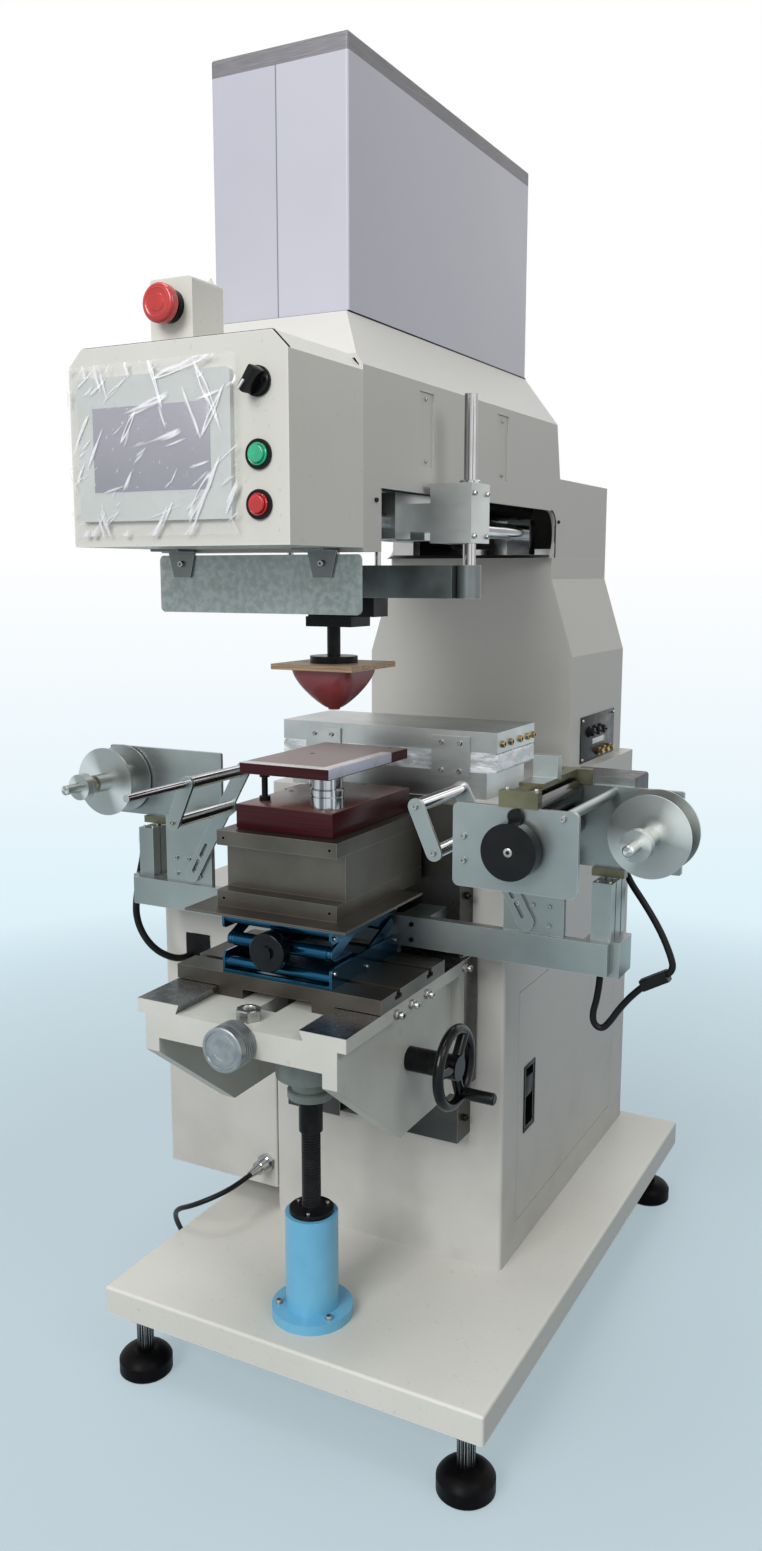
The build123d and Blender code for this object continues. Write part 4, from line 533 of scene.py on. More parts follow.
# Head housing
# The same grey enamel. The carriage windows are trimmed with black edging, and the dark inside shows
# through them. Each shallow slot in the side holds two small screws.
dark_finish = Finish("unlit inside", roughness=0.7)
dark_finish.clouded((0.05, 0.05, 0.047), (0.09, 0.09, 0.085), 20.0)
dark_finish.grain(300.0, 0.1, 0.0005)
inner_half = 134.5
head_side = 137.0
trim_inner, trim_outer = 138.2, 139.9
window_foot, window_top = 1021.5, 1070
window_rear = 594.5
window_corner = 21.5
head_housing = coat("head_housing", grey_finish, dark_finish)
faces_in(head_housing, (-inner_half, -14, 1021), (inner_half, 700, 1284), 1, inward=True)
trim_form = bmesh.new()
for side, ending in ((1, ""), (-1, "_left")):
    cap_screws("louvre_screws" + ending, "frame", (side, 0, 0), 2.2,
               [(side * head_side, y, z) for y in (140, 380) for z in (1130, 1202)])
    cap_screws("head_screws" + ending, "frame", (side, 0, 0), 2.6,
               [(side * (head_side + 2), 10, 1078), (side * (head_side + 2), 608, 1076)], black_finish)
    inner, outer = sorted((side * trim_inner, side * trim_outer))
    slab(trim_form, (inner, window_rear, window_foot), (outer, window_rear + 3, window_top), 0.5)
    for step in range(10):
        angle = math.radians(9 * step)
        y = window_rear - 20 + window_corner * math.cos(angle)
        z = window_top + window_corner * math.sin(angle)
        slab(trim_form, (inner, y - 1.7, z - 1.7), (outer, y + 1.7, z + 1.7), 0.4)
piece("window_trim", trim_form, "frame", "black_rubber", foot_finish)

# Panel box
# A cream box screwed to the front of the head. A black seal runs round the edge of its front plate.
# The touch screen has a pale bezel and a dark blank glass, and still wears its protective film, with painted
# highlights as white streaks across it.
control_x = 104
selector_level, green_level, red_level = 1184, 1114, 1065
panel_front, bezel_front = -170.2, -176.5
seal_y = -167.2
bezel_finish = Finish("screen bezel", roughness=0.35, Coat_Weight=0.3)
bezel_finish.clouded((0.47, 0.50, 0.48), (0.53, 0.555, 0.535), 16.0, rough=(0.15, 0.22))
bezel_finish.grain(14.0, 0.22, 0.003, 6.0, (1, 1, 2))
panel_box = coat("panel_box", cream_finish, bezel_finish, plastic_finish, dark_finish)
faces_in(panel_box, (-124.5, bezel_front, 1051), (74.5, panel_front, 1200.5), 1)
for level in (selector_level, green_level, red_level):
    faces_in(panel_box, (control_x - 16, -173.5, level - 16), (control_x + 16, -169.9, level + 16), 2)
    faces_in(panel_box, (control_x - 12, -172.9, level - 12), (control_x + 12, -140, level + 12), 2)
faces_in(panel_box, (-inner_half, -164, 1027), (inner_half, -20, 1227), 3, inward=True)

seal_wide, seal_narrow, seal_foot, seal_shoulder, seal_top = 138.2, 120.2, 1035, 1213, 1231
seal_corners = [(-seal_wide, seal_foot), (-seal_wide, seal_shoulder), (-seal_narrow, seal_top),
                (seal_narrow, seal_top), (seal_wide, seal_shoulder), (seal_wide, seal_foot),
                (-seal_wide, seal_foot)]
seal_form = bmesh.new()
for index, ((x, z), (next_x, next_z)) in enumerate(zip(seal_corners, seal_corners[1:])):
    run = Vector((next_x - x, 0, next_z - z))
    thick = 1.5 if index in (1, 2, 3) else 0.5
    turned(seal_form, (x, seal_y, z), run, [(thick, 0, 4), (thick, run.length, 4)], 4)
piece("panel_seal", seal_form, "frame", "black_rubber", foot_finish)

glass_finish = Finish("screen glass", roughness=0.3, Coat_Weight=0.3)
glass_cloud = glass_finish.between(glass_finish.noise(9.0, 4.0), 0.3, 0.75)
glass_fleck = glass_finish.between(glass_finish.noise(230.0, 1.0), 0.70, 0.75)
glass_color = glass_finish.mix(glass_cloud, (0.22, 0.22, 0.26), (0.28, 0.28, 0.32))
glass_finish.feed(Base_Color=glass_finish.mix(glass_fleck * 0.5, glass_color, (0.72, 0.73, 0.76)),
                  Roughness=glass_cloud * 0.16 + 0.26)
glass_finish.grain(11.0, 0.12, 0.002, 6.0, (1, 1, 2))
glass_form = slabs(0.3, ((-103, bezel_front, 1082), (49, bezel_front + 1, 1169)))
piece("screen_glass", glass_form, "frame", "black_plastic", glass_finish)
sheet_finish = Finish("clear screen film", roughness=0.12)
sheet_x = sheet_finish.axis("X")
sheet_z = sheet_finish.axis("Z")
sheet_glints = None
# Painted highlights: thin white streaks in the film where its wrinkles would catch the light.
for lean_x, lean_z, across, along, shift, share in (
        (0.50, 0.87, 60.0, 9.0, 1.0, 1.0), (-0.34, 0.94, 52.0, 8.0, 4.0, 1.0),
        (0.97, 0.26, 56.0, 7.0, 9.0, 1.0), (0.80, 0.60, 90.0, 16.0, 13.0, 0.6)):
    way = sheet_finish.node("ShaderNodeCombineXYZ", None,
                            {0: (sheet_x * lean_x + sheet_z * lean_z) * along + shift,
                             1: (sheet_x * lean_z - sheet_z * lean_x) * across})
    glint_noise = sheet_finish.node("ShaderNodeTexNoise", None, {"Vector": way, "Scale": 1.0, "Detail": 2.0})
    glint = sheet_finish.between(glint_noise, 0.635, 0.67) * sheet_finish.between(glint_noise, 0.72, 0.68) * share
    sheet_glints = sheet_glints + glint if sheet_glints else glint
sheet_finish.feed(Base_Color=sheet_finish.mix(sheet_finish.noise(30.0), (0.80, 0.80, 0.82),
                                              (0.90, 0.90, 0.91)),
                  Alpha=sheet_glints * 0.75 + 0.05)
sheet_finish.grain(16.0, 0.5, 0.004, 5.0)
sheet_form = slabs(0.15, ((-136, bezel_front - 1, 1036), (82, bezel_front - 0.6, 1213)))
piece("screen_film", sheet_form, "frame", "silicone", sheet_finish)

# Push buttons
# A green and a red lit button of clear moulded plastic in black bezels, clamped to the panel from
# behind. The collar round each cap is of the same clear colour.
collar_steps = 48
collar_outline = [(9.15, -172.9), (11.2, -172.9), (11.2, -174.6), (10.6, -175.3), (9.15, -175.0)]
for name, level, dark, light in (
        ("green", green_level, (0.008, 0.33, 0.16), (0.018, 0.46, 0.24)),
        ("red", red_level, (0.38, 0.006, 0.006), (0.52, 0.010, 0.009))):
    cap_finish = Finish(name + " button cap", roughness=0.2, Coat_Weight=0.4)
    cap_finish.clouded(dark, light, 70.0, rough=(0.1, 0.15))
    cap_finish.grain(500.0, 0.05, 0.0003)
    coat(name + "_button", cap_finish)
    collar_form = bmesh.new()
    for step in range(collar_steps):
        corners = [[collar_form.verts.new(spot(control_x + reach * math.cos(turn), y,
                                               level + reach * math.sin(turn)))
                    for reach, y in collar_outline]
                   for turn in (math.tau * step / collar_steps, math.tau * (step + 1) / collar_steps)]
        for index in range(len(collar_outline)):
            onward = (index + 1) % len(collar_outline)
            collar_form.faces.new((corners[0][index], corners[0][onward], corners[1][onward],
                                   corners[1][index]))
    bmesh.ops.remove_doubles(collar_form, verts=collar_form.verts, dist=0.00001)
    piece(name + "_button_collar", collar_form, "frame", name + "_plastic", cap_finish)

# Selector switch
# A black moulded knob with a thumb blade and a white pointer line, pressed on the switch's stem and
# turned to the lower left.
gloss_finish = Finish("glossy black moulding", roughness=0.16, Specular_IOR_Level=0.2)
gloss_finish.clouded((0.0035, 0.0035, 0.004), (0.007, 0.007, 0.0075), 40.0, rough=(0.12, 0.1))
gloss_finish.grain(300.0, 0.05, 0.0003)
white_finish = Finish("white plastic", roughness=0.4)
white_finish.clouded((0.66, 0.66, 0.64), (0.76, 0.76, 0.74), 30.0)
white_finish.grain(300.0, 0.06, 0.0003)
selector_middle = spot(control_x, -180, selector_level)
selector_form = turnings((0, -1, 0), [(13.8, 0), (13.8, 3.2), (12.6, 4.6), (9.5, 5.0)], 40,
                         (control_x, panel_front, selector_level))
blade_half, blade_rise, blade_slope = 4.6, 14, 0.16
collar_face = spot(0, -175.3, 0).y
blade_face = spot(0, -194.6, 0).y
slab(selector_form, (control_x - blade_half, -193.5, selector_level - blade_rise),
     (control_x + blade_half, -172, selector_level + blade_rise), 2.4)
for corner in selector_form.verts:
    if corner.co.y < collar_face or abs(corner.co.x - selector_middle.x) < 0.0047:
        slope = (corner.co.z - selector_middle.z) * blade_slope
        corner.co.y = max(corner.co.y - slope, blade_face)
pointer_form = slabs(0.4, ((control_x - 1, -195.4, selector_level + 2), (control_x + 1, -192.6, 1197)))
knob_lean = 40
for form, lean in ((selector_form, knob_lean), (pointer_form, knob_lean + 180)):
    bmesh.ops.rotate(form, verts=form.verts, cent=selector_middle,
                     matrix=Matrix.Rotation(math.radians(lean), 3, "Y"))
selector_knob = piece("selector_knob", selector_form, "selector", "black_plastic", gloss_finish)
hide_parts("selector_switch")
piece("selector_pointer", pointer_form, "selector", "black_plastic", white_finish)

# Emergency stop
# A cream sheet box screwed to the panel's top, with a red moulded mushroom button in a black collar
# on its front and a white cable gland on its top.
mushroom_finish = Finish("red mushroom", roughness=0.28, Coat_Weight=0.3)
mushroom_finish.clouded((0.38, 0.012, 0.010), (0.52, 0.022, 0.018), 40.0, rough=(0.12, 0.2))
mushroom_finish.grain(500.0, 0.06, 0.0003)
estop_box = coat("estop_box", cream_finish, plastic_finish)
faces_in(estop_box, (-36, -157, 1250), (2, -148.1, 1289), 1)
coat("estop_button", mushroom_finish)
ring_form = turnings((0, -1, 0), [(15.6, -0.4), (15.6, 0.2), (14.6, 0.9), (13.2, 0.3), (9.4, 0.3), (8.8, 1.0),
                                  (5.0, 1.3), (0.6, 1.4)], 40, (-17, -171.6, 1269.8))
piece("estop_face_ring", ring_form, "estop", "red_plastic", mushroom_finish)
gland_form = turnings((0, 0, 1), [(4.5, -0.1, 6), (4.5, 2.6, 6), (3.4, 3.0), (3.0, 5.4), (1.8, 6.4)], 24,
                      (2, -107, 1298))
piece("estop_gland", gland_form, "frame", "green_plastic", white_finish)

# Top cover
# Stainless sheet that still wears its blue-white protective film, in two widths that meet at the
# middle of the front, the right one painted lighter as painted light. A bare band shows along the top, and a
# dark joint runs round its foot.
film_finish = Finish("filmed stainless", roughness=0.3, Specular_IOR_Level=0.35)
film_x = film_finish.axis("X")
film_cloud = film_finish.between(film_finish.noise(2.6, 5.0), 0.3, 0.7)
film_color = film_finish.mix(film_cloud, (0.43, 0.43, 0.485), (0.49, 0.49, 0.545))
# Painted light: the cover right of the seam is mixed lighter.
film_right_light = film_finish.between(film_x, -0.0030, -0.0028)
film_color = film_finish.mix(film_right_light * 0.3, film_color, (0.52, 0.52, 0.57))
film_seam = (film_finish.between(film_x, -0.0042, -0.0030)
             * film_finish.between(film_x, -0.0016, -0.0028))
film_color = film_finish.mix(film_seam, film_color, (0.13, 0.14, 0.18))
film_band = film_finish.between(film_finish.axis("Z"), 1.7008, 1.7012)
film_brush = film_finish.between(film_finish.noise(40.0, 3.0, (1, 1, 40)), 0.3, 0.7)
film_bare = film_finish.mix(film_brush, (0.13, 0.125, 0.135), (0.20, 0.195, 0.205))
film_finish.feed(Base_Color=film_finish.mix(film_band, film_color, film_bare), Metallic=film_band * 0.6,
                 Roughness=film_band * 0.2 + film_cloud * 0.12 + 0.26)
film_finish.grain(5.0, 0.25, 0.004, 7.0)
coat("top_cover", film_finish)
cover_half, cover_front, cover_rear = 91.6, 35.4, 580.6
joint_low, joint_high, joint_width = 1288.0, 1289.6, 0.8
joint_form = bmesh.new()
for start_x, start_y, end_x, end_y in (
        (-cover_half, cover_front, cover_half, cover_front + joint_width),
        (-cover_half, cover_rear - joint_width, cover_half, cover_rear),
        (-cover_half, cover_front, joint_width - cover_half, cover_rear),
        (cover_half - joint_width, cover_front, cover_half, cover_rear)):
    slab(joint_form, (start_x, start_y, joint_low), (end_x, end_y, joint_high), 0.2)
piece("cover_joint", joint_form, "frame", "black_rubber", foot_finish)

# Column guide, cross table and riser
# Ground tool steel, oiled, with fine grinding lines and brownish patches. Five black cap screws hold
# the guide to the cabinet on each side.
steel_finish = Finish("ground steel", roughness=0.34, metallic=0.9)
steel_lines = steel_finish.noise(60.0, 3.0, (1, 40, 40))
steel_finish.clouded((0.072, 0.065, 0.055), (0.135, 0.122, 0.104), 9.0, 6.0,
                     edge=(0.0012, 0.5, (0.34, 0.32, 0.28)))
steel_finish.feed(Roughness=steel_lines * 0.2 + 0.28)
steel_finish.bump(steel_lines, 0.12, 0.0003)
oiled_finish = Finish("dark oiled steel", roughness=0.3, metallic=0.85)
oiled_finish.clouded((0.05, 0.048, 0.044), (0.11, 0.105, 0.095), 7.0, 6.0,
                     edge=(0.0012, 0.6, (0.40, 0.38, 0.34)), rough=(0.15, 0.22))
oiled_finish.grain(60.0, 0.1, 0.0003, 3.0, (40, 1, 40))
coat("column_guide", oiled_finish)
coat("cross_table", steel_finish)
coat("work_riser", steel_finish)
for side, ending in ((1, ""), (-1, "_left")):
    cap_screws("guide_screws" + ending, "frame", (side, 0, 0), 5.0,
               [(side * 140, 274, z) for z in (236, 330, 424, 560, 654)], black_finish, "black_oxide")

# Lift post and screw
# A turned post in pale blue enamel, its flange held by three cap screws, under a black cap with three
# small screws, and a black oxide lead screw with its thread.
post_y = 87
cap_foot, cap_top = 149.2, 155
blue_finish = Finish("pale blue enamel", roughness=0.3, Coat_Weight=0.25)
blue_finish.clouded((0.115, 0.385, 0.58), (0.15, 0.44, 0.64), 18.0, 5.0)
blue_finish.grain(260.0, 0.12, 0.0006)
lift_post = coat("lift_post", blue_finish, black_finish)
faces_in(lift_post, (-34, 50, cap_foot), (34, 124, cap_top + 1), 1)
faces_in(lift_post, (-15, 72, 20), (15, 102, 148), 1)
coat("lift_screw", black_finish)
for name, ring, first, level, radius in (("post_flange_screws", 45.5, -30, 14, 4.6),
                                         ("post_cap_screws", 23, -70, cap_top, 2.6)):
    turns = [math.radians(120 * third + first) for third in range(3)]
    cap_screws(name, "frame", (0, 0, 1), radius,
               [(ring * math.cos(turn), post_y + ring * math.sin(turn), level) for turn in turns])
thread_steps = 24
thread_turns = 27
thread_pitch = 4.0
thread_foot = cap_top + 1.5
thread_section = [(11.9, -1.3), (13.0, -0.35), (13.0, 0.35), (11.9, 1.3)]
thread_form = bmesh.new()
last = None
for step in range(thread_steps * thread_turns + 1):
    angle = math.tau * step / thread_steps
    level = thread_foot + thread_pitch * step / thread_steps
    section = [thread_form.verts.new(spot(reach * math.cos(angle), post_y + reach * math.sin(angle),
                                          level + rise)) for reach, rise in thread_section]
    if last:
        for index in range(len(section)):
            onward = (index + 1) % len(section)
            thread_form.faces.new((last[index], last[onward], section[onward], section[index]))
    else:
        thread_form.faces.new(section)
    last = section
thread_form.faces.new(last[::-1])
piece("lift_screw_thread", thread_form, "lift_screw", "black_oxide", black_finish)

# Knee casting
# Iron casting, filled and painted cream, with its ways and the top of its rim ground bare. Set
# screws in lock nuts along the right side press the gib, and a nut stands on the front of its deck.
deck_level = 465
cast_finish = Finish("painted casting", roughness=0.45, Specular_IOR_Level=0.3)
cast_cloud = cast_finish.between(cast_finish.noise(8.0, 6.0), 0.35, 0.7)
cast_color = cast_finish.mix(cast_cloud, (0.50, 0.505, 0.455), (0.58, 0.585, 0.535))
cast_stain = cast_finish.between(cast_finish.noise(35.0, 5.0), 0.64, 0.82)
cast_color = cast_finish.mix(cast_stain * 0.4, cast_color, (0.22, 0.20, 0.17))
cast_color = cast_finish.mix(cast_finish.worn_edge(0.0018) * 0.5, cast_color, (0.34, 0.33, 0.30))
cast_finish.feed(Base_Color=cast_color, Roughness=cast_cloud * 0.12 + 0.38)
cast_finish.grain(150.0, 0.25, 0.0010, 5.0)
way_finish = Finish("scraped way", roughness=0.22, metallic=0.95)
way_finish.clouded((0.235, 0.24, 0.25), (0.26, 0.265, 0.275), 90.0, 2.0, spread=(0.4, 0.6),
                   rough=(0.06, 0.24))
way_finish.grain(60.0, 0.03, 0.0002, 2.0, (1, 12, 1))
housing_finish = Finish("grey green casting", roughness=0.42)
housing_finish.clouded((0.15, 0.185, 0.165), (0.23, 0.27, 0.25), 22.0, 6.0, rough=(0.15, 0.36))
housing_finish.grain(90.0, 0.35, 0.0014, 5.0)
knee_casting = coat("knee_casting", cast_finish, way_finish, housing_finish)
faces_in(knee_casting, (-46.6, 40.4, 313), (116.8, 133.6, 429.6), 2)
for side in (-1, 1):
    low, high = sorted((side * 84, side * 150))
    faces_in(knee_casting, (low, -80, deck_level - 2), (high, 260, 477.5), 1, facing=(0, 0, 1))
    faces_in(knee_casting, (low - 6, -79.5, deck_level + 0.2), (high + 6, 260, 476.8), 1,
             facing=(-side, 0, 0))
flats = 11
lock_rise = flats * 0.45
gib_screw_form = turnings((1, 0, 0), [
    (flats / 2, -0.1, 6), (flats / 2, lock_rise * 0.85, 6), (flats * 0.46, lock_rise),
    (flats * 0.3, lock_rise),
    (flats * 0.3, lock_rise * 1.5), (flats * 0.42, lock_rise * 1.5), (flats * 0.42, lock_rise * 2.3),
    (flats * 0.36, lock_rise * 2.5), (flats * 0.2, lock_rise * 2.5, 6), (flats * 0.2, lock_rise * 1.9, 6)],
    24, *[(149, y, deck_level + 2) for y in (42.6, 83.5, 126.6, 246)])
piece("gib_screws", gib_screw_form, "knee", "bright_steel", zinc_bolt_finish)
piece("gib_strip", slabs(0.3, ((148.9, 250, 289), (149.9, 291.5, 475))), "knee", "ground_steel", oiled_finish)
lug_way = (0, -1, -0.15)
lug_form = turnings(lug_way, [(17, 0), (17, 16), (14, 20), (7, 22)], 32, (-12, 60, 398))
turned(lug_form, (-30, 56, 406), lug_way, [(6, 0, 6), (6, 16, 6), (4, 17)], 24)
turned(lug_form, (0, post_y, 313.5), (0, 0, 1), [(30, 0), (31, 1.5), (31, 10), (29, 12)], 40)
turned(lug_form, (0, post_y, 392), (0, 0, 1), [(50, 0), (54, 4), (54, 38)], 48)
piece("housing_lugs", lug_form, "knee", "casting", housing_finish)
deck_nut_form = turnings((0, 0, 1), [(13.6, -0.1, 6), (14.4, 0.6, 6), (14.4, 12.6, 6), (13.4, 14), (9.0, 14),
                                     (8.4, 13), (8.4, 2)], 48, (-3, -50, deck_level))
piece("deck_nut", deck_nut_form, "knee", "bright_steel", zinc_bolt_finish)

# Feed knob
# A turned aluminium knob, fixed on the front end of the cross-feed screw. Its rim is grooved for the
# fingers and its face is ringed.
knob_finish = Finish("turned aluminium knob", roughness=0.34, metallic=0.75)
knob_finish.clouded((0.25, 0.27, 0.28), (0.35, 0.375, 0.385), 60.0, rough=(0.15, 0.28))
knob_finish.grain(200.0, 0.1, 0.0004)
rim, groove_depth, groove_pitch = 27.8, 1.9, 3.6
knob_outline = [(6, -280), (6, 0.5), (24, 0.6), (27.6, 1.6)]
for groove in range(5):
    low = 3.0 + groove * groove_pitch
    knob_outline += [(rim, low), (rim, low + 2.0), (rim - groove_depth, low + 2.5),
                     (rim - groove_depth, low + 3.1)]
knob_outline += [(rim, 21.6), (rim, 31.2), (26.2, 32.6), (23.4, 32.6), (22.8, 31.4), (19.4, 31.4),
                 (19.0, 31.9), (12.4, 31.9), (12.0, 31.4), (1.0, 31.4)]
feed_knob = piece("turned_feed_knob", turnings((0, -1, 0), knob_outline, 48, (0, -79.3, 447)), "feed_knob",
                  "casting", knob_finish)
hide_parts("feed_knob")

# Handwheel and crank handle
# A glossy black moulded wheel with three spokes, fixed on the knee's cross shaft. A grip of the same
# moulding turns on a pin near its rim.
coat("handwheel", gloss_finish)
coat("crank_handle", gloss_finish)

# Lab jack
# Extruded and sawn aluminium, anodised deep blue, with bright worn edges. Small steel screws hold
# the tubes to the side flanges, and the black knob has a bright centre.
anodised_finish = Finish("blue anodised aluminium", roughness=0.22, metallic=0.9, Coat_Weight=0.15)
anodised_lines = anodised_finish.noise(30.0, 2.0, (1, 60, 60))
anodised_color = anodised_finish.mix(anodised_finish.between(anodised_lines, 0.3, 0.7),
                                     (0.004, 0.050, 0.105), (0.008, 0.095, 0.185))
anodised_color = anodised_finish.mix(anodised_finish.worn_edge(0.0010), anodised_color, (0.10, 0.34, 0.50))
anodised_finish.feed(Base_Color=anodised_color, Roughness=anodised_lines * 0.18 + 0.12)
anodised_finish.bump(anodised_lines, 0.06, 0.0002)
for name in ("base", "top", "front_bar", "rear_bar", "link_lower_front", "link_lower_rear",
             "link_upper_front", "link_upper_rear"):
    coat("jack_" + name, anodised_finish)
coat("jack_screw", gloss_finish)
jack_side = 80
for name, body, end_level, middle_level in (("jack_base_screws", "cross_table", 516, 502),
                                            ("jack_top_screws", "work_table", 560, 574)):
    cap_screws(name, body, (1, 0, 0), 2.6,
               [(jack_side, 14, end_level), (jack_side, 174, end_level), (jack_side, 96, middle_level)])
tip_form = turnings((0, -1, 0), [(7.5, -0.2), (7.5, 0.6), (6.6, 1.2), (3.0, 1.4), (2.6, 0.8), (0.5, 0.8)], 24,
                    (0, -15, 538))
piece("jack_knob_centre", tip_form, "jack_screw", "bright_steel", zinc_bolt_finish)

# Fixture on the riser
# Two dark maroon laminated phenolic plates. Two large bright posts at opposite corners and a dark
# bolt hold the upper one, whose front edge and right side are covered with white film tape.
block_top = 711.5
plate_bottom_rise = 39.1
plate_top = 763.9
phenolic_finish = Finish("maroon phenolic", roughness=0.28, Specular_IOR_Level=0.16)
phenolic_layers = phenolic_finish.between(phenolic_finish.noise(300.0, 2.0, (0.02, 0.02, 1)), 0.35, 0.65)
phenolic_color = phenolic_finish.mix(phenolic_layers, (0.026, 0.003, 0.005), (0.046, 0.006, 0.008))
phenolic_edge = phenolic_finish.worn_edge(0.001) * 0.4
phenolic_color = phenolic_finish.mix(phenolic_edge, phenolic_color, (0.16, 0.05, 0.045))
# Painted reflection: upward faces are mixed to a lighter brown-pink.
phenolic_top_reflection = phenolic_finish.between(phenolic_finish.facing("Z"), 0.8, 0.95)
phenolic_finish.feed(Base_Color=phenolic_finish.mix(phenolic_top_reflection, phenolic_color, (0.13, 0.062, 0.052)))
phenolic_finish.grain(400.0, 0.08, 0.0004)
chrome_finish = Finish("hard chrome", roughness=0.12, metallic=1.0)
chrome_smear = chrome_finish.between(chrome_finish.noise(25.0, 5.0), 0.4, 0.75)
# Painted reflection: dark bands that follow the way each face turns.
chrome_reflection_band = chrome_finish.between(chrome_finish.bands(chrome_finish.facing("X") * 3.1 + 5.0), 0.40, 0.56)
chrome_color = chrome_finish.mix(chrome_smear, (0.62, 0.62, 0.63), (0.50, 0.49, 0.48))
chrome_finish.feed(Base_Color=chrome_finish.mix(chrome_reflection_band, (0.15, 0.15, 0.155), chrome_color),
                   Roughness=chrome_smear * 0.12 + 0.08)
chrome_finish.grain(60.0, 0.03, 0.0002, 3.0, (40, 1, 1))
fixture_base = piece("fixture_block", slabs(2.2, ((-70.5, 28, 679.5), (70.5, 237, block_top))), "work_table",
                     "bakelite", phenolic_finish)
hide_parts("fixture_base")
post_outline = [(20.5, -0.2), (21, 0.3), (21, 14.6), (20.4, 15.2), (20.4, 16.0), (21, 16.6), (21, 23.4),
                (20.4, 24.0), (20.4, 24.6), (19.4, 25.2), (19.4, plate_bottom_rise)]
post_form = turnings((0, 0, 1), post_outline, 64, (45, 60, block_top), (-45, 205, block_top))
piece("fixture_posts", post_form, "work_table", "bright_steel", chrome_finish)
bolt_outline = [(7.2, -0.1), (7.2, 5.6), (6.6, 6.2), (4.0, 6.2), (4.0, 30.0), (6.6, 30.4),
                (6.6, plate_bottom_rise)]
piece("fixture_bolts", turnings((0, 0, 1), bolt_outline, 28, (-50, 64, block_top)), "work_table",
      "black_oxide", black_finish)
coat("fixture_plate", phenolic_finish)
tape_finish = Finish("white film tape", roughness=0.30)
tape_cloud = tape_finish.between(tape_finish.noise(20.0, 5.0), 0.35, 0.7)
# Painted shade: the tape's right side is tinted a darker blue-grey.
tape_side_shade = tape_finish.between(tape_finish.axis("X"), 0.0646, 0.0650)
tape_color = tape_finish.mix(tape_cloud, (0.56, 0.54, 0.52), (0.72, 0.69, 0.67))
tape_finish.feed(Base_Color=tape_finish.mix(tape_side_shade, tape_color, (0.50, 0.52, 0.62)),
                 Roughness=tape_cloud * 0.2 + 0.22,
                 Alpha=tape_finish.between(tape_finish.noise(9.0, 4.0), 0.25, 0.5, 0.86, 0.98))
tape_finish.grain(70.0, 0.25, 0.0008, 4.0, (1, 1, 4))
tape_form = slabs(0.15, ((50, 28.9, plate_top - 0.1), (65.3, 192, 764.25)),
                  ((64.9, 28.9, 751.5), (65.35, 192, 764.2)))
slab(tape_form, (-65.2, 29.0, plate_top - 0.1), (51, 46, 764.15), 0.1)
piece("fixture_tape", tape_form, "work_table", "silicone", tape_finish)
hole_form = bmesh.new()
for x, y, level, reach in (
        (-56, 137, block_top, 3.4), (-7, 41, block_top, 3.0), (60, 137, block_top, 3.4),
        (4, 230, block_top, 2.6), (64, 229, block_top, 2.6), (-24, 139, plate_top, 3.4),
        (42, 232, plate_top, 3.4)):
    turned(hole_form, (x, y, level), (0, 0, 1), [(reach, -0.2), (reach, 0.12), (reach - 0.4, 0.16)], 24)
piece("fixture_holes", hole_form, "work_table", "black_oxide", dark_finish)

# Hot plate and its support
# A bare milled plate with brass terminals in its ends, on an aluminium block wrapped in crumpled
# clear white film. Two brackets with four screws each hold its front edge.
front_screw_y = 298
plate_end, plate_middle = 171, 767
terminal_outline = [(5.0, -0.2), (5.0, 3.2), (4.4, 3.8), (2.6, 3.8, 6), (2.6, 1.2, 6)]
aluminium_finish = Finish("milled aluminium", roughness=0.3, metallic=0.92)
aluminium_lines = aluminium_finish.noise(40.0, 3.0, (1, 30, 30))
aluminium_finish.clouded((0.38, 0.40, 0.39), (0.52, 0.54, 0.53), 12.0, 5.0,
                         edge=(0.001, 0.6, (0.70, 0.71, 0.70)))
aluminium_finish.feed(Roughness=aluminium_lines * 0.22 + 0.24)
aluminium_finish.bump(aluminium_lines, 0.08, 0.0002)
wrap_finish = Finish("crumpled clear film", roughness=0.2, metallic=0.2, Coat_Weight=0.5)
wrap_crease = wrap_finish.noise(26.0, 7.0, (1, 1, 2.5))
# Painted highlights: the film is coloured light on its crease ridges and darker between them.
wrap_crease_highlight = wrap_finish.between(wrap_crease, 0.4, 0.62)
wrap_finish.feed(Base_Color=wrap_finish.mix(wrap_crease_highlight, (0.42, 0.45, 0.46), (0.80, 0.82, 0.83)),
                 Roughness=wrap_crease_highlight * 0.3 + 0.12)
wrap_finish.bump(wrap_crease, 0.8, 0.005)
coat("hot_plate", aluminium_finish)
plate_support = coat("plate_support", aluminium_finish, wrap_finish)
faces_in(plate_support, (-175, 298, 727), (175, 442, 756), 1)
terminal_form = bmesh.new()
for side in (-1, 1):
    for y in (319, 348, 383, 412, 434):
        turned(terminal_form, (side * plate_end, y, plate_middle), (side, 0, 0), terminal_outline, 24)
piece("plate_terminals", terminal_form, "frame", "nickel", brass_finish)
cap_screws("bracket_screws", "frame", (0, -1, 0), 3.0,
           [(x, front_screw_y, z) for x in (-116, -88, 88, 116) for z in (plate_middle, 728)])

# Carriage in the head
# Chromed round rails run along the inside of the head. They carry a milled aluminium carriage, and a
# milled guide block with a chromed bush for the outer rod, held on by four cap screws.
coat("head_rails", chrome_finish)
coat("pad_carriage", aluminium_finish)
coat("guide_block", aluminium_finish)
bush_outline = [(13, -0.1), (13, 3.2), (12, 4), (8.2, 4), (8.2, 1)]
piece("guide_rod_bush", turnings((0, 0, 1), bush_outline, 40, (190, 155, 1103)), "carriage", "bright_steel",
      chrome_finish)
cap_screws("guide_block_screws", "carriage", (1, 0, 0), 3.0,
           [(204, y, z) for y in (136, 174) for z in (1041, 1091)])

